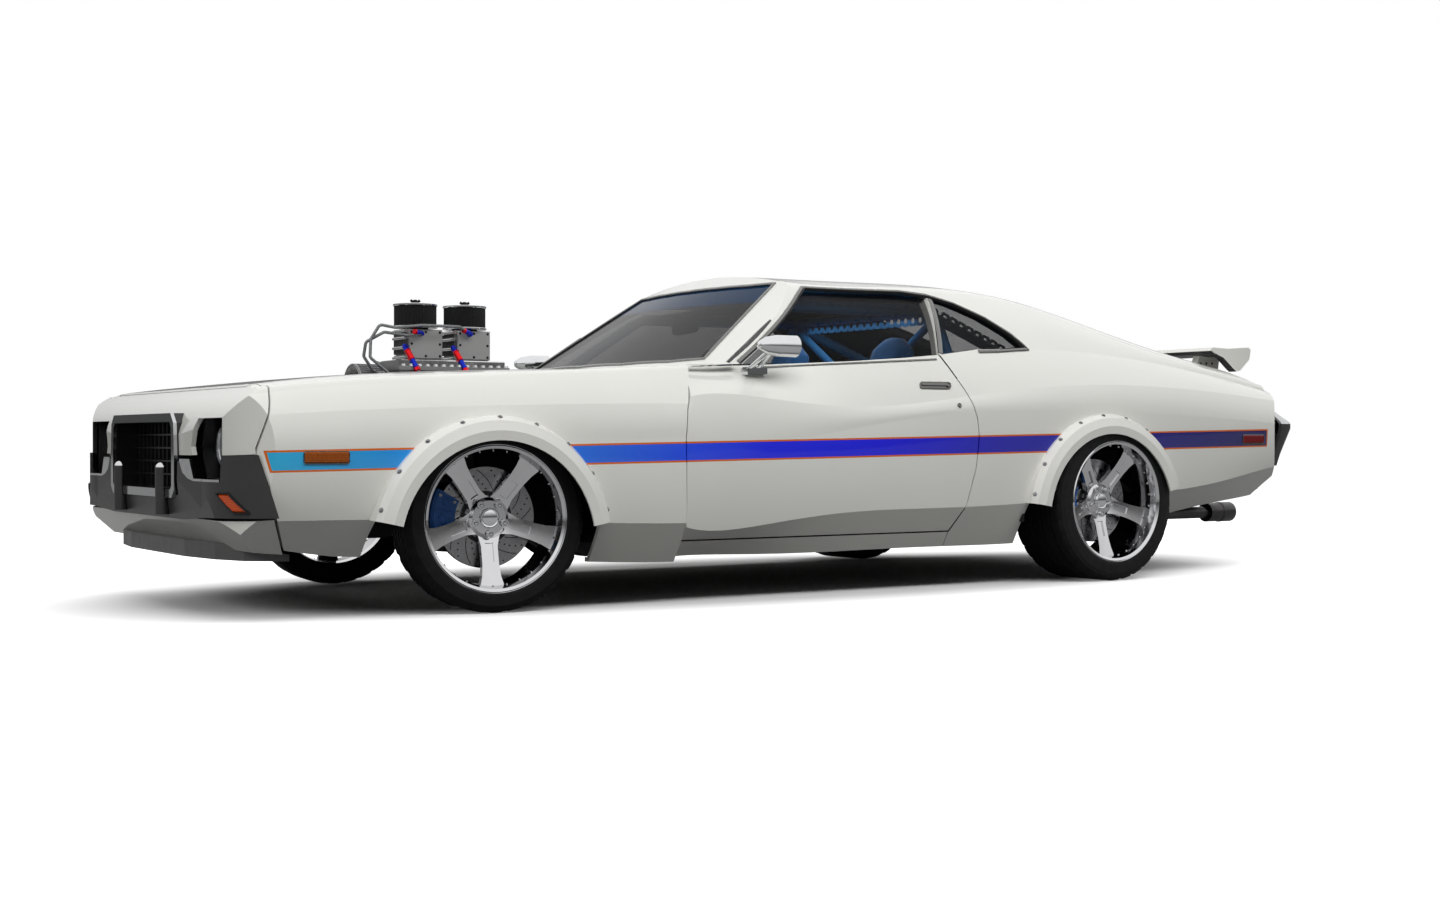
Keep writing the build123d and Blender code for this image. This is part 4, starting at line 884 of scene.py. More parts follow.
def disc_hat(face):
    hat = Shape().turn(Vector((0, 0, face)), [(0.0955, 0.0042), (0.0955, 0.0050), (0.088, 0.0056),
                                              (0.080, 0.0050), (0.080, 0.0042)], 60, True)
    for a in around(10, 0.5):
        bolt(hat, polar(0.0875, a, face + 0.005), (0, 0, 1), 0.0032, 0.004)
    return hat


def caliper_ribs(top):
    """Piston covers and the ribs between them."""
    ribs = Shape()
    for turn, r, size in ((-21, 0.160, 0.0150), (0, 0.162, 0.0175), (21, 0.160, 0.0150)):
        ribs.turn(polar(r, math.radians(180 + turn), top),
                  [(0, 0.0040), (size * 0.55, 0.0040), (size * 0.62, 0.0028), (size * 0.92, 0.0028),
                   (size, 0.0), (size, -0.002)], 28)
    for turn in (-28, -10.5, 10.5, 28):
        ribs.bar([polar(r, math.radians(180 + turn), top + 0.001) for r in (0.130, 0.160, 0.192)],
                 trapezium(0.0035, -0.002, 0.0022, 0.0024))
    return ribs


def caliper_bolts(top):
    pins = Shape()
    for turn, r in ((-26, 0.190), (26, 0.190), (-26, 0.132), (26, 0.132)):
        bolt(pins, polar(r, math.radians(180 + turn), top), (0, 0, 1), 0.0048, 0.0055, 1.4)
    return pins


def wheel_pieces(end, side):
    name = end + "_" + side
    body = end + "_wheel_" + side
    knuckle = "steer_" + side if end == "front" else "body"
    m = wheel_matrix(end, side)
    face = DISC_FACE[end]

    tyre = Shape(*tyre_shape(TYRE_RADIUS[end], TYRE_WIDTH[end])).moved(m)
    obj = tyre.piece("tyre_" + name, "tyre_rubber", "tyre", 40, body)
    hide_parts(end + "_tyre_" + side)
    for kind, shape, look, slot, carrier in (
            ("nuts_and_cap_", nuts_and_cap(HUB_FACE[end]), "chrome_bright", "chrome", body),
            ("barrel_bolts_", barrel_bolts(), "chrome_bright", "chrome", body),
            ("valve_", valve(), "black_bolt", "tyre", body),
            ("disc_drilling_", disc_drilling(face), "black_bolt", "filter_black", body),
            ("disc_hat_", disc_hat(face), "frame_black", "frame_black", body),
            ("caliper_ribs_", caliper_ribs(face + CALIPER_TOP), "caliper_blue", "caliper_blue", knuckle),
            ("caliper_bolts_", caliper_bolts(face + CALIPER_TOP), "steel_grey", "disc_steel", knuckle)):
        shape.moved(m).piece(kind + name, look, slot, 35, carrier)


for end in ("front", "rear"):
    for side in ("left", "right"):
        wheel_pieces(end, side)


# ------------------------------------------------------------------ over-fender bolts
def flare_bolts():
    radius, count = 0.452, 9
    for name, s0, z0, first, last in (("front", -90, 240, 18, 164), ("rear", 2850, 268, 15, 156)):
        shape = Shape()
        for i in range(count):
            a = math.radians(first + (last - first) * i / (count - 1))
            origin = P(s0, 1300, z0) + radius * Vector((math.cos(a), 0, math.sin(a)))
            hit = on_surface(("flares",), origin, (0, -1, 0))
            if hit:
                bolt(shape, *hit, 0.0062, 0.0055, 1.5, 0.3 * i)
        shape.mirrored().piece("flare_bolts_" + name, "steel_grey", "chrome")


flare_bolts()


# ------------------------------------------------------------------ window mouldings
WINDOW = [(1022, 900), (1094, 903), (1531, 927), (1800, 947), (1985, 964), (2219, 994), (2440, 1003),
          (2500, 1010), (2455, 1060), (2360, 1130), (2240, 1190), (2130, 1222), (2000, 1234), (1500, 1228),
          (1440, 1190)]


def side_window_mouldings():
    def round_window(margin, corners):
        outline = inset(WINDOW, margin)
        return [(v.x, v.y) for v in spread([outline[i] for i in corners], 22.0)]

    def on_roof(points):
        return [h for h in found(side_hit("roof", s, z) for s, z in points) if h[0].y > 0.4]

    shape = laid(Shape(), on_roof(round_window(-10.0, (*range(5, 15), 0))), 0.017, 0.007)
    laid(shape, on_roof((2000 + 146 * i / 12, 970 + 256 * i / 12) for i in range(13)), 0.021, 0.005)
    shape.mirrored().piece("window_mouldings", "moulding_grey", "chrome", 40)

    seal = laid(Shape(), on_roof(round_window(-1.0, (*range(7, 15), 0))), 0.006, 0.0105)
    seal.mirrored().piece("window_seals", "rubber_seal", "tyre", 40)

    along = [925 * i / 39 for i in range(40)]
    belt = found(side_hit("door_left", 1040 + t, 0.06 * t + 889) for t in along)
    laid(Shape(), belt, 0.009, 0.004).pair("belt_moulding", "moulding_grey", "chrome", 40, "door")


PILLAR_LINE = ((987, 832, 0), (1087, 806, 0), (1236, 768, 0), (1420, 738, 0))
PILLAR_POINTS = 6


def pillar_strips():
    """Dark finish on the outer edge of each windscreen pillar, up to the side glass, with a bright edge."""
    rows, edge_hits = [], []
    for v in curved(PILLAR_LINE, 8):
        start = down_on("roof", v.x, v.y)
        if not start:
            continue
        outer = v.y
        while outer < 900:
            hit = down_on("roof", v.x, outer + 2)
            if not hit or hit[1].x < 0.25 or hit[1].z < 0.6:
                break
            outer += 2
        if outer - v.y < 8:
            continue
        row = []
        for i in range(PILLAR_POINTS):
            place, normal = down_on("roof", v.x, v.y + (outer - v.y) * i / (PILLAR_POINTS - 1))
            row.append(place + normal * (0.0012 if 0 < i < PILLAR_POINTS - 1 else -0.002))
        rows.append(row)
        edge_hits.append(start)
    strip = Shape([v for row in rows for v in row], grid_faces(len(rows) - 1, PILLAR_POINTS - 1))
    strip.mirrored().piece("pillar_strips", "pillar_black", "lamp_black", 40)
    laid(Shape(), edge_hits, 0.006, 0.004).mirrored().piece("pillar_mouldings", "moulding_grey", "chrome", 40)


side_window_mouldings()
pillar_strips()

SCREEN = [(0, 12), (300, 34), (560, 92), (702, 148), (526, 702), (400, 672), (200, 648), (0, 640),
          (-200, 648), (-400, 672), (-526, 702), (-702, 148), (-560, 92), (-300, 34)]
SCREEN_SLOPE = 1.6
REAR_WINDOW = [(2722, 500), (2760, 535), (3400, 590), (3452, 560), (3462, 0), (3452, -560), (3400, -590),
               (2760, -535), (2722, -500), (2706, 0)]


def screen_mouldings():
    run = math.hypot(SCREEN_SLOPE, 1.0)
    normal = Vector((1 / run, 0, SCREEN_SLOPE / run))
    hits = []
    for v in spread(inset(SCREEN, -8.0), 34.0, True):
        base = P(800 + v.y * SCREEN_SLOPE / run, v.x, 915 + v.y / run)
        hits.append(on_surface(("roof", "firewall"), base + normal * 0.5, -normal))
    shape = laid(Shape(), found(hits), 0.015, 0.005, True)
    shape.piece("windscreen_moulding", "moulding_grey", "chrome", 40)

    hits = []
    for v in spread(REAR_WINDOW, 34.0, True):
        out = v + (v - Vector((3080, 0, 0))).normalized() * 9
        hits.append(down_on("roof", out.x, out.y))
    shape = laid(Shape(), found(hits), 0.015, 0.005, True)
    shape.piece("rear_window_moulding", "moulding_grey", "chrome", 40)


screen_mouldings()


# ------------------------------------------------------------------ markers, handle and lock
def shifted(matrix, x, y=0.0):
    return matrix @ Matrix.Translation((x, y, 0))


def side_markers():
    for name, s, z, w, h, glow, node in (("front", -696, 555.5, 0.156, 0.043, "amber_lens", "front_fenders"),
                                         ("rear", 3818, 617, 0.150, 0.044, "red_marker", "quarter_panels")):
        m = on_side(node, s, z)
        inner = rounded(w - 0.007, h - 0.007, 0.0065)
        shape = Shape().add(*rim_plate(rounded(w, h, 0.009), inner, 0.005, 0.0012, -0.004), m)
        shape.mirrored().piece("marker_bezel_" + name, "moulding_grey", "chrome", 40)
        shape = Shape().add(*plate(inner, 0.0065, 0.0025, -0.004), m)
        for i in range(-9, 10):
            shape.add(*plate(rounded(0.0036, h - 0.014, 0.0012, 2), 0.0078, 0.0008), shifted(m, i * 0.0076))
        shape.mirrored().piece("marker_lens_" + name, glow, None, 30)


def door_handle():
    m = on_side("door_left", 1917, 835)
    recess = rounded(0.150, 0.020, 0.008, 6, 0.25)
    shape = Shape().add(*rim_plate(rounded(0.164, 0.032, 0.012, 6, 0.25), recess, 0.005, 0.0015, -0.006), m)
    shape.add(*plate(recess, 0.0018, 0.0008, -0.006), m)
    shape.add(*plate(rounded(0.136, 0.015, 0.0065, 6, 0.25), 0.0075, 0.003), shifted(m, -0.004, 0.004))
    shape.add(*plate(rounded(0.014, 0.014, 0.006), 0.0085, 0.002), shifted(m, 0.064, -0.001))
    shape.pair("door_handle", "handle_metal", "chrome", 35, "door")

    m = on_side("door_left", 2018, 755)
    shape = Shape().turn(m, [(0, 0.0052), (0.0022, 0.0052), (0.0024, 0.0040), (0.0062, 0.0040),
                             (0.0074, 0.0052), (0.0098, 0.0036), (0.0102, -0.004)], 28)
    shape.add(*plate(rounded(0.0016, 0.0074, 0.0006, 2), 0.0047, 0.0002), m)
    shape.pair("door_lock", "handle_metal", "chrome", 35, "door")


side_markers()
door_handle()


# ------------------------------------------------------------------ lamps
def headlamp_details():
    rings, bowls, lenses, bulbs = Shape(), Shape(), Shape(), Shape()
    for y in (606, 740):
        m = facing(P(-908, y, 592), (1, 0, 0))
        rings.turn(m, [(0.062, 0.001), (0.0635, 0.0065), (0.0665, 0.0075), (0.0695, 0.0055),
                       (0.0700, 0.0), (0.0700, -0.006), (0.062, -0.006)], 64, True)
        for i in range(3):
            bolt(rings, m @ polar(0.0675, math.radians(90 + 120 * i), 0.006), (1, 0, 0), 0.0022, 0.002)
        bowls.turn(m, [(0.062, 0.0012), (0.050, 0.0010), (0.030, 0.0008), (0.011, 0.0006), (0.010, 0.0003),
                       (0.062, 0.0002)], 64, True)
        bulbs.turn(m, [(0, 0.0062), (0.005, 0.0058), (0.0085, 0.003), (0.0095, 0.0008)], 32)
        lenses.turn(m, dome_profile(0.0625, 0.0095, 6, 0.003), 64)
    rings.mirrored().piece("headlamp_rings", "chrome_bright", "chrome", 40)
    bowls.mirrored().piece("headlamp_bowls", "chrome_bright", "chrome", 60)
    bulbs.mirrored().piece("headlamp_bulbs", "bulb_white", None, 60)
    lenses.mirrored().piece("headlamp_lenses", "lens_glass", None, 60)


def on_nose(y, z):
    """What lies behind a point in front of the car, on the front bumper."""
    return on_surface(("front_bumper",), P(-1400, y, z), (-1, 0, 0))


def turn_lamps():
    """Slanted orange lamps let into the bumper: a thin ribbed lens between four corners, and its bezel."""
    corners = [(788, 438), (846, 439), (924, 374), (874, 373)]
    columns, rows, lift = 14, 8, 0.004
    grid = []
    for r in range(rows + 1):
        for c in range(columns + 1):
            u, v = c / columns, r / rows
            y, z = [((1 - u) * corners[0][k] + u * corners[1][k]) * (1 - v)
                    + ((1 - u) * corners[3][k] + u * corners[2][k]) * v for k in (0, 1)]
            place, normal = on_nose(y, z)
            edge = r in (0, rows) or c in (0, columns)
            grid.append(place + normal * (-0.004 if edge else lift + 0.0008 * (c % 2)))
    Shape(grid, grid_faces(rows, columns)).mirrored().piece("turn_lamp_lenses", "orange_lens", None, 25)
    hits = found(on_nose(v.x, v.y) for v in spread(corners, 9.0, True))
    bezel = laid(Shape(), hits, 0.007, 0.0065, True)
    bezel.mirrored().piece("turn_lamp_bezels", "lamp_black", "lamp_black", 30)


headlamp_details()
turn_lamps()


# ------------------------------------------------------------------ blower, filters and fuel lines
def sleeve(shape, a, b, radius, steps=20, narrow=0.8, lead=0.06):
    """Round sleeve between two points, its ends drawn in."""
    a, b = Vector(a), Vector(b)
    length = (b - a).length
    shape.turn(facing(a, b - a),
               [(0, 0), (radius * narrow, 0), (radius, length * lead), (radius, length * (1 - lead)),
                (radius * narrow, length), (0, length)], steps)


def hex_sleeve(shape, a, b, radius):
    sleeve(shape, a, b, radius, 6, 0.86, 0.12)


BLOWER_STACKS = (-6.0, 202.0)


def blower_side_plates():
    plates, bolts = Shape(), Shape()
    for front in BLOWER_STACKS:
        for side in (1, -1):
            m = surface_frame(P(front + 82.0, 62 * side, 990), (0, side, 0), (-side, 0, 0))
            plates.add(*plate(rounded(0.138, 0.112, 0.003, 3), 0.0035, 0.0008, -0.001), m)
            for i, k in ((-1, -1), (0, -1), (1, -1), (-1, 0), (1, 0), (-1, 1), (0, 1), (1, 1)):
                at = facing(m @ Vector((i * 0.060, k * 0.047, 0.0035)), (0, side, 0))
                bolts.turn(at, dome_profile(0.0054, 0.0030, 4) + [(0.0054, -0.0015)], 14)
                bolts.turn(at, [(0.0, 0.0035), (0.0024, 0.0035), (0.0026, 0.0028)], 6)
    plates.piece("blower_side_plates", "alloy_plate", "blower_alloy")
    bolts.piece("blower_bolts", "black_bolt", "filter_black", 40)


def blower_ribs():
    ribs, slots = Shape(), Shape()
    for front in BLOWER_STACKS:
        for z in (936, 974, 1012, 1040):
            ribs.bar([P(front - 3, y, z) for y in (-59, 59)],
                     [(-0.004, -0.005), (0.003, -0.005), (0.0045, 0), (0.003, 0.005), (-0.004, 0.005)])
        # painted shade: dark grey bars standing a little proud of the face stand in for the dark insides of
        # the slots
        for k in range(12):
            slots.bar([P(front + 3, -55 + 10 * k, z) for z in (950, 1034)],
                      trapezium(0.0035, -0.004, 0.002, 0.004), up=(1, 0, 0))
    ribs.piece("blower_ribs", "bright_rib", "blower_alloy")
    slots.piece("blower_slots", "dark_slot", "filter_black")


def fuel_fittings():
    blue, red = Shape(), Shape()
    for place, rise in (((52, 64, 1028), 0.004), ((262, 64, 1032), 0.010)):
        base = P(*place)
        a = base + Vector((0, 1, 0.1)).normalized() * 0.020
        sleeve(blue, base, a, 0.0098)
        b = a + Vector((0.030, 0.010, rise))
        sleeve(blue, a - Vector((0.003, 0.004, 0)), b, 0.0102)
        hex_sleeve(red, b, b + (b - a).normalized() * 0.012, 0.0112)
    for s0 in (-6, 200):
        start, bend, end = P(s0 - 14, 78, 978), P(s0 - 6, 112, 944), P(s0 + 12, 148, 880)
        sleeve(blue, P(s0 + 6, 55, 978), start, 0.0095)
        sleeve(blue, start, start.lerp(bend, 0.55), 0.0105)
        sleeve(red, start.lerp(bend, 0.52), bend.lerp(end, 0.30), 0.0118)
        hex_sleeve(red, start.lerp(bend, 0.50), start.lerp(bend, 0.64), 0.0135)
        sleeve(blue, bend.lerp(end, 0.28), bend.lerp(end, 0.80), 0.0100)
        hex_sleeve(red, bend.lerp(end, 0.78), bend.lerp(end, 1.0), 0.0125)
    blue.piece("fittings_blue", "fitting_blue", "caliper_blue")
    red.piece("fittings_red", "fitting_red", "lamp_red")


def blower_flange():
    rail = Shape()
    for side in (1, -1):
        for i in range(14):
            bolt(rail, P(-44 + 34 * i, 126 * side, 901), (0, 0, 1), 0.0062, 0.0075, 1.35, 0.2 * i)
        rail.bar([P(s, 112 * side, 914) for s in (-52, 392)], chamfered(0.010, -0.013, 0.012))
    rail.piece("blower_flange_bolts", "bright_rib", "blower_alloy")


PULLEY_Z = 812
PULLEY_RADIUS = 97


def blower_pulley():
    """Teeth, front face and bolts of the belt pulley."""
    belt = Shape()
    for a in around(44):
        out = polar(1, a)
        belt.bar([P(s, PULLEY_RADIUS * out.x, PULLEY_Z + PULLEY_RADIUS * out.y) for s in (-104, -198)],
                 trapezium(0.0022, -0.004, 0.0016, 0.0002), up=(0, out.x, out.y))
    belt.turn(facing(P(-204, 0, PULLEY_Z), (1, 0, 0)),
              [(0, 0.006), (0.012, 0.006), (0.016, 0.003), (0.030, 0.003), (0.034, 0.001), (0.082, 0.001),
               (0.086, 0.003), (0.091, 0.003), (0.092, 0.0)], 56)
    for a in around(6):
        out = polar(24, a)
        bolt(belt, P(-205, out.x, PULLEY_Z + out.y), (1, 0, 0), 0.0048, 0.006)
    belt.piece("blower_pulley_teeth", "steel_grey", "blower_alloy")


def filter_details():
    pleats, caps, nuts = Shape(), Shape(), Shape()
    ring = [polar(0.0832 if i % 2 else 0.0795, math.pi * i / 84) for i in range(168)]
    for s in (60, 274):
        m = Matrix.Translation(P(s, 0, 1061))
        pleats.add(ring + [v + Vector((0, 0, 0.0805)) for v in ring], strips(2, len(ring)), m)
        caps.turn(m, [(0.0, 0.0885), (0.020, 0.0885), (0.024, 0.0868), (0.070, 0.0868), (0.076, 0.0888),
                      (0.0850, 0.0888), (0.0868, 0.0868), (0.0868, 0.0815), (0.0850, 0.0800),
                      (0.079, 0.0800)], 72)
        caps.turn(m, [(0.079, 0.0012), (0.0860, 0.0012), (0.0875, -0.0006), (0.0875, -0.0050),
                      (0.0855, -0.0068), (0.052, -0.0068)], 72)
        nuts.turn(m, [(0.0, 0.1065), (0.006, 0.1065), (0.0075, 0.1050), (0.0080, 0.0960), (0.0125, 0.0935),
                      (0.0130, 0.0880)], 24)
        for side in (1, -1):
            nuts.bar([m @ Vector((x * side, 0, z))
                      for x, z in ((0.006, 0.096), (0.014, 0.100), (0.0195, 0.1045))],
                     [(-0.0022, -0.005), (0.0022, -0.005), (0.0026, 0.003), (0, 0.0055), (-0.0026, 0.003)])
    pleats.piece("filter_pleats", "filter_black", "filter_black", 12)
    caps.piece("filter_caps", "chrome_bright", "chrome")
    nuts.piece("filter_wing_nuts", "black_bolt", "filter_black")


blower_side_plates()
blower_ribs()
fuel_fittings()
blower_flange()
blower_pulley()
filter_details()


# ------------------------------------------------------------------ cage gussets and cabin
def holed_strip(shape, a, b, across, width, hole, pitch):
    """Flat strip from a to b with round holes along its middle."""
    thick, steps = 0.0025, 16
    along = (b - a).normalized()
    count = max(1, round((b - a).length / pitch))
    cell = (b - a).length / count
    across = (Vector(across) - along * Vector(across).dot(along)).normalized()
    normal = along.cross(across)
    turns = [polar(1, a) for a in around(steps, 0.5)]
    ring = [v * hole for v in turns]
    for v in turns:
        big = max(abs(v.x), abs(v.y))
        ring.append(Vector((v.x / big * cell / 2, v.y / big * width / 2)))
    faces = []
    for k in range(steps):
        j = (k + 1) % steps
        faces += [[k, j, steps + j, steps + k], [2 * steps + k, 3 * steps + k, 3 * steps + j, 2 * steps + j],
                  [k, 2 * steps + k, 2 * steps + j, j], [steps + k, steps + j, 3 * steps + j, 3 * steps + k]]
    for i in range(count):
        middle = a + along * cell * (i + 0.5)
        shape.add([middle + along * v.x + across * v.y + normal * thick * side
                   for side in (0.5, -0.5) for v in ring], faces)


def cage_gussets():
    shape = Shape()
    holed_strip(shape, P(1020, 712, 866), P(1410, 566, 1152), (0, 0.5, 0.85), 0.050, 0.0125, 0.046)
    holed_strip(shape, P(1450, 560, 1172), P(2260, 532, 1180), (0, 0.3, 1), 0.046, 0.0120, 0.046)
    holed_strip(shape, P(2330, 516, 1160), P(2990, 516, 902), (0, 0.1, 1), 0.046, 0.0120, 0.050)
    shape.mirrored()
    holed_strip(shape, P(1452, -520, 1152), P(1452, 520, 1152), (1, 0, 0.6), 0.050, 0.0125, 0.046)
    holed_strip(shape, P(2290, -500, 1146), P(2290, 500, 1146), (0, 0, 1), 0.050, 0.0125, 0.050)
    shape.piece("cage_gussets", "cage_blue", "cage_blue", 30)
    cross = Shape()
    for side in (1, -1):
        low, high = P(2300, 640 * side, 420), P(2300, -520 * side, 1150)
        cross.bar([low.lerp(high, t / 6) for t in range(7)], round_section(0.018, 14), up=(1, 0, 0))
    cross.bar([P(1440, -545, 1160), P(1440, 0, 1168), P(1440, 545, 1160)], round_section(0.019, 14),
              up=(1, 0, 0))
    cross.piece("cage_braces", "cage_blue", "cage_blue", 50)


def cabin_details():
    m = surface_frame(P(1330, 0, 1105), (-0.97, 0.12, -0.2), (0, 1, 0))
    mirror = Shape().add(*plate(rounded(0.225, 0.062, 0.020, 6), 0.012, 0.004, -0.014), m)
    mirror.bar([P(1322, 0, 1112), P(1318, 0, 1135), P(1330, 0, 1165)], round_section(0.007, 10), up=(0, 1, 0))
    mirror.piece("rear_view_mirror", "handle_metal", "chrome", 40)
    dash, rings = Shape(), Shape()
    for y, r in ((300, 0.052), (440, 0.052), (370, 0.034), (170, 0.030), (95, 0.030)):
        m = facing(P(1086, y, 812), (-0.9, 0, 0.42))
        rings.turn(m, [(r, 0.0), (r, 0.010), (r * 0.93, 0.012), (r * 0.88, 0.010), (r * 0.88, 0.0)], 40, True)
        dash.turn(m, [(0, 0.0050), (r * 0.06, 0.0048), (r * 0.08, 0.0030), (r * 0.88, 0.0030)], 40)
        for a in around(24):
            dash.add(*plate(rounded(r * 0.16, 0.0016, 0.0004, 1), 0.0012, 0.0003),
                     m @ Matrix.Rotation(a, 4, "Z") @ Matrix.Translation((r * 0.74, 0, 0.003)))
    rings.piece("gauge_rings", "handle_metal", "chrome")
    dash.piece("gauge_faces", "lamp_black", "interior_black")


cage_gussets()
cabin_details()

# ------------------------------------------------------------------ tail
BUMPER_BREAK = 692


def tail_lamps():
    lamp_frame, ribs = Shape(), Shape()
    loop = spread([(4068, 338), (4068, 812), (4136, 812), (4136, 338)], 20.0, True)
    laid(lamp_frame, found(down_on("tail_lamps", v.x, v.y, 950) for v in loop), 0.006, 0.0045, True)
    for i in range(1, 16):
        y = 338 + 474 * i / 16
        line = found(down_on("tail_lamps", s, y, 950) for s in (4071, 4085, 4100, 4115, 4133))
        if i % 4 == 0:
            laid(lamp_frame, line, 0.005, 0.004)
        else:
            laid(ribs, line, 0.0026, 0.0016)
    lamp_frame.mirrored().piece("tail_lamp_frames", "handle_metal", "chrome")
    ribs.mirrored().piece("tail_lamp_ribs", "red_marker", "lamp_red")


def exhaust_tips():
    m = facing(P(4116, 590, 262), (-1, 0, 0))
    tips = Shape().turn(m, [(0.0400, 0.0008), (0.0405, 0.0040), (0.0430, 0.0058), (0.0462, 0.0050),
                            (0.0475, 0.0020), (0.0475, -0.060), (0.0485, -0.066), (0.0485, -0.078),
                            (0.0470, -0.082), (0.0400, -0.082)], 56, True)
    # painted shade: a black disc closes each tip just inside its mouth, standing in for the dark inside of
    # the pipe
    bores = Shape().turn(m, [(0, 0.0006), (0.0404, 0.0006), (0.0404, -0.004)], 48)
    bores.turn(m, [(0.0404, 0.0034), (0.0380, 0.0006), (0.0404, 0.0006)], 48, True)
    tips.mirrored().piece("exhaust_tip_rings", "exhaust_steel", "exhaust_steel")
    bores.mirrored().piece("exhaust_tip_bores", "filter_black", "filter_black")


def wing_bolts():
    feet = Shape()
    for s in (3905, 3945, 3985):
        for side in (-1, 1):
            hit = on_surface(("wing",), P(s, 580 + 60 * side, 985), (0, -side, 0))
            if hit:
                bolt(feet, *hit, 0.0045, 0.0045)
    feet.mirrored().piece("wing_bolts", "steel_grey", "disc_steel", 35, "deck_lid")


def bumper_strip():
    hits = found(on_surface(("rear_bumper",), P(4400, 980 - 1960 * i / 48, BUMPER_BREAK), (1, 0, 0))
                 for i in range(49))
    laid(Shape(), hits, 0.007, 0.0035).piece("rear_bumper_strip", "chrome_bright", "chrome")


# station, distance from the middle, and how far each draws in over a level's share
CORNER_PLAN = [(4064, 956, 0, 60), (4084, 957, 0, 60), (4110, 956, 10, 60), (4134, 950, 35, 60),
               (4148, 937, 62, 56), (4155, 915, 74, 46), (4160.5, 880, 84, 18), (4161, 846, 88, 0),
               (4161, 640, 88, 0)]
CORNER_LEVELS = ((752, 1.2), (744, 1.04), (700, 0.12), (690, 0.0), (668, 0.0), (640, 0.157), (600, 0.382),
                 (560, 0.607), (520, 0.832), (491, 0.995))


def bumper_corners():
    """Wrapped ends of the rear bumper, widest at the break and drawn in above and below it."""
    sections = []
    for s, y, in_s, in_y in CORNER_PLAN:
        outer = [P(s - in_s * t, y - in_y * t, z) for z, t in CORNER_LEVELS]
        inner = [P(max(s - in_s * t - 14, 4062.5), y - in_y * t - 16, z) for z, t in CORNER_LEVELS]
        sections.append(outer + inner[::-1])
    Shape(*lofted(sections)).mirrored().piece("rear_bumper_corners", "rear_bumper_finish", "bumper_grey", 25)


tail_lamps()
exhaust_tips()
wing_bolts()
bumper_strip()
bumper_corners()


# ------------------------------------------------------------------ seats
def evaluated(obj):
    graph = bpy.context.evaluated_depsgraph_get()
    return bpy.data.meshes.new_from_object(obj.evaluated_get(graph))


def swollen(obj, cap):
    """Swells the mesh as pressed cloth, no vertex further than the cap."""
    scene = bpy.context.scene
    cloth_mod = obj.modifiers.new("cloth", "CLOTH")
    settings = cloth_mod.settings
    settings.quality = 4
    settings.use_pressure = True
    settings.uniform_pressure_force = 4.0
    settings.effector_weights.gravity = 0.0
    cloth_mod.collision_settings.use_collision = False
    for number in range(1, 21):
        scene.frame_set(number)
    ends = [v.co.copy() for v in evaluated(obj).vertices]
    obj.modifiers.clear()
    scene.frame_set(1)
    for v, end in zip(obj.data.vertices, ends):
        move = end - v.co
        if move.length > cap:
            move *= cap / move.length
        v.co = v.co + move
    obj.data.update()


def padded_form(name, form, voxel, cap, carve):
    """Remesh, swell, subdivide once and sew the channels."""
    obj = raw_object(name, *form)
    soft_edges(obj, 60)
    remesh = obj.modifiers.new("remesh", "REMESH")
    remesh.mode = "VOXEL"
    remesh.voxel_size = voxel
    base = evaluated(obj)
    obj.modifiers.clear()
    obj.data = base
    swollen(obj, cap)
    subdivision = obj.modifiers.new("subdivision", "SUBSURF")
    subdivision.levels = 1
    subdivision.render_levels = 1
    finer = evaluated(obj)
    obj.modifiers.clear()
    obj.data = finer
    normals = [v.normal.copy() for v in finer.vertices]
    for v, n in zip(finer.vertices, normals):
        v.co = v.co - n * carve(v.co, n)
    finer.update()
    for polygon in finer.polygons:
        polygon.use_smooth = True
    finer.materials.clear()
    return obj


def oval(count, power_u, power_w):
    """Points of a flat-sided oval from -1 to 1."""
    out = []
    for a in around(count):
        c, d = math.cos(a), math.sin(a)
        out.append((math.copysign(abs(c) ** power_u, c), math.copysign(abs(d) ** power_w, d)))
    return out


def soft_ring(centre, outward, half_width, front, back, dip):
    """One section of a pad: flat-sided oval whose front is lower in the middle than at the bolsters."""
    ring = []
    for u, w in oval(40, 0.5, 0.55):
        reach = front if w > 0 else back
        lower = dip * max(0.0, 1 - (u / 0.66) ** 2) if w > 0 else 0.0
        ring.append(centre + Vector((0, u * half_width, 0)) + outward * (w * reach - lower * max(w, 0)))
    return ring


def gauss(value, width):
    return math.exp(-(value / width) ** 2)


SEAT_Y = 385


def bucket_back():
    sections = []
    for i in range(15):
        t = i / 14
        half = 0.212
        if t > 0.60:
            half = 0.212 - 0.058 * math.sin(math.pi / 2 * min(1.0, (t - 0.60) / 0.14))
        if t > 0.86:
            half *= math.sqrt(max(0.05, 1 - ((t - 0.86) / 0.15) ** 2))
        thick = 0.046 - 0.022 * t
        dip = 0.030 * max(0.0, 1 - max(0.0, t - 0.5) / 0.3)
        sections.append(soft_ring(P(2028 + 158 * t, SEAT_Y, 415 + 668 * t), Vector((0.966, 0, 0.258)), half,
                                  thick, thick * 0.9, dip))
    return lofted(sections)


def bucket_cushion():
    sections = []
    for i in range(11):
        t = i / 10
        top = 428 - 34 * t if t > 0.15 else 400 + 28 * t / 0.15
        half = 0.214 if 0 < i < 10 else 0.196
        reach = (top - 318) / 2000.0
        sections.append(soft_ring(P(1520 + 430 * t, SEAT_Y, 0.5 * (top + 318)), Vector((0, 0, 1)), half,
                                  reach, reach, 0.024))
    return lofted(sections)


def bench_part(centre, along, half_length, outward, half_thick):
    """One half of the bench, as sections across the car with a low hump in the middle."""
    sections = []
    for i in range(27):
        y = -580 + 1160 * i / 26
        side = min(1.0, (580 - abs(y)) / 40.0 + 0.55)
        hump = 0.012 * gauss(y, 90.0)
        sections.append([centre + Vector((0, y / 1000, 0)) + Vector(along) * (u * half_length * side)
                         + Vector(outward) * (w * half_thick * side + hump) for u, w in oval(28, 0.5, 0.5)])
    return lofted(sections)


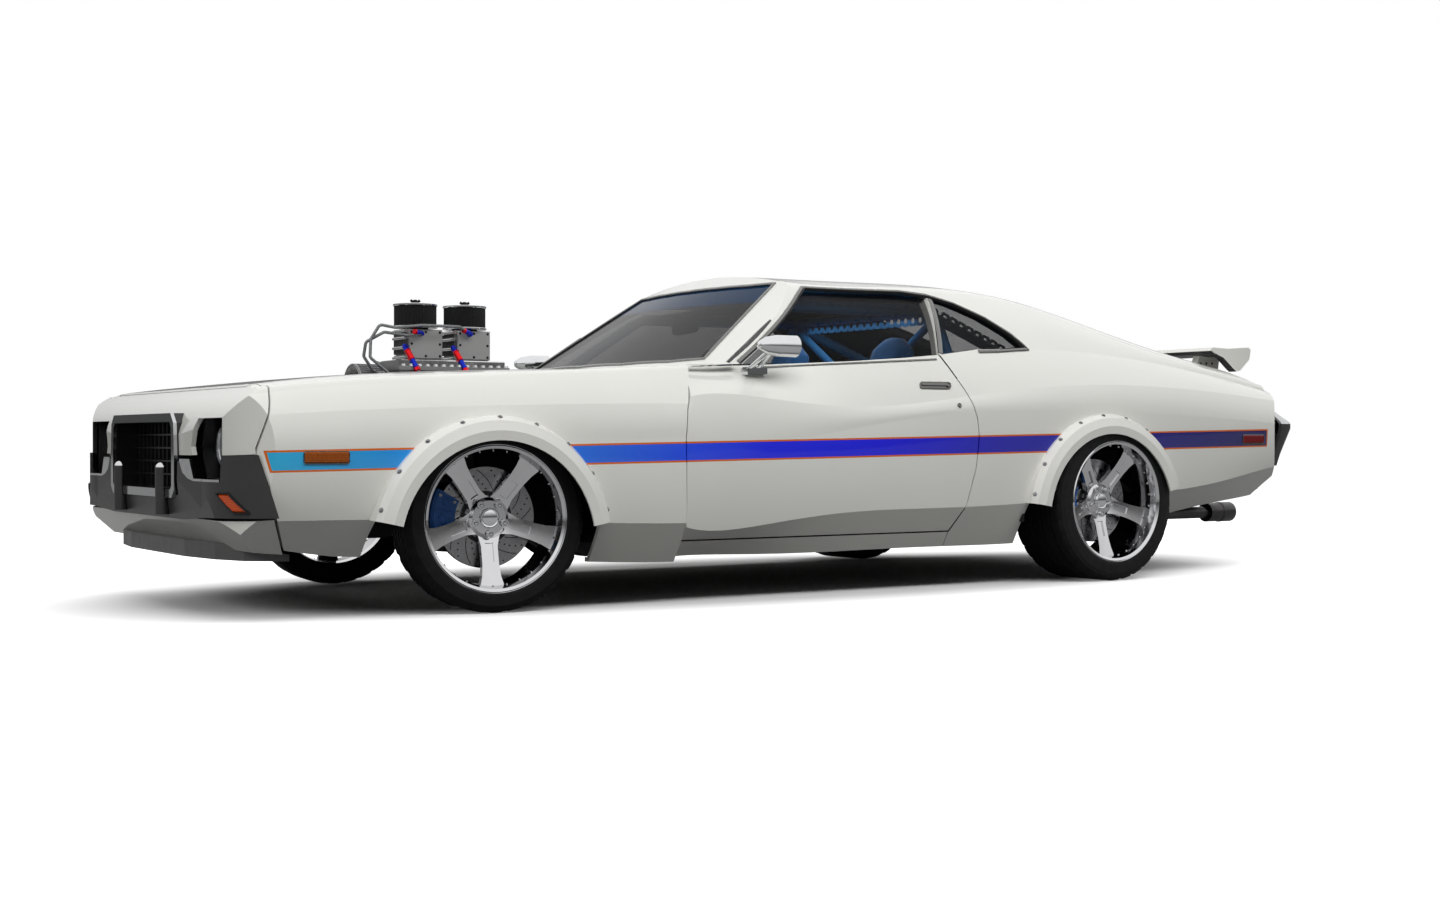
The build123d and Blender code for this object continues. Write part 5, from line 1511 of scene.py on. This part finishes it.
def bucket_channels(axis, limit, half_width, places):
    """Sewn channels across a seat's face: depth at a point, by its normal along the axis it faces."""
    across = 2 - axis

    def carve(p, n):
        if n[axis] < limit or abs(p.y - SEAT_Y / 1000) > half_width:
            return 0.0
        return sum(0.006 * gauss(p[across] - at, 0.006) for at in places)
    return carve


def bench_channels(p, n):
    if max(n.x, n.z) <= 0.4:
        return 0.0
    return sum(0.007 * gauss(p.y - y, 0.007) for y in (-0.40, -0.20, 0.0, 0.20, 0.40))


def mirrored_object(obj, name):
    mesh = obj.data.copy()
    for v in mesh.vertices:
        v.co.y = -v.co.y
    mesh.flip_normals()
    return shown(bpy.data.objects.new(name, mesh))


def seats():
    back = padded_form("seat_back_left", bucket_back(), 0.009, 0.024,
                       bucket_channels(0, 0.4, 0.150, (0.52, 0.59, 0.66, 0.73, 0.80)))
    cushion = padded_form("seat_cushion_left", bucket_cushion(), 0.009, 0.022,
                          bucket_channels(2, 0.5, 0.160, (-0.02, -0.10, -0.18, -0.26)))
    made = [back, mirrored_object(back, "seat_back_right"),
            cushion, mirrored_object(cushion, "seat_cushion_right")]
    made.append(padded_form("bench_cushion", bench_part(P(2545, 0, 528), (1, 0, 0), 0.145, (0, 0, 1), 0.036),
                            0.010, 0.022, bench_channels))
    made.append(padded_form("bench_back", bench_part(P(2812, 0, 700), (-0.31, 0, 0.95), 0.135,
                                                     (0.95, 0, 0.31), 0.028), 0.010, 0.022, bench_channels))
    for obj in made:
        obj.data.materials.append(LOOK["bench_cloth" if "bench" in obj.name else "seat_cloth"])
        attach(obj, "body")
    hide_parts("seats")


def seat_frames():
    rails = Shape()
    for y in (235, 535):
        rails.bar([P(1540, y, 262), P(2030, y, 262)], chamfered(0.016, -0.022, 0.020, 0.006, 0.008))
        for s in (1580, 1760, 1960):
            rails.bar([P(s, y, 280), P(s, y, 312)], rounded(0.044, 0.030, 0.006, 3), up=(1, 0, 0))
            bolt(rails, P(s + 30, y, 282), (0, 0, 1), 0.006, 0.006)
    for s in (1600, 1930):
        rails.bar([P(s, 215, 300), P(s, 555, 300)], rounded(0.030, 0.020, 0.005, 3))
    rails.mirrored().piece("seat_rails", "frame_black", "frame_black")
    board = Shape().add(*plate(rounded(0.290, 1.150, 0.03, 5), 0.030, 0.004), P(2545, 0, 470))
    board.add(*plate(rounded(1.150, 0.250, 0.03, 5), 0.012, 0.004, -0.006),
              surface_frame(P(2826, 0, 690), (0.95, 0, 0.31), (0, 1, 0)))
    board.piece("bench_board", "carpet", "interior_black")


seats()
seat_frames()
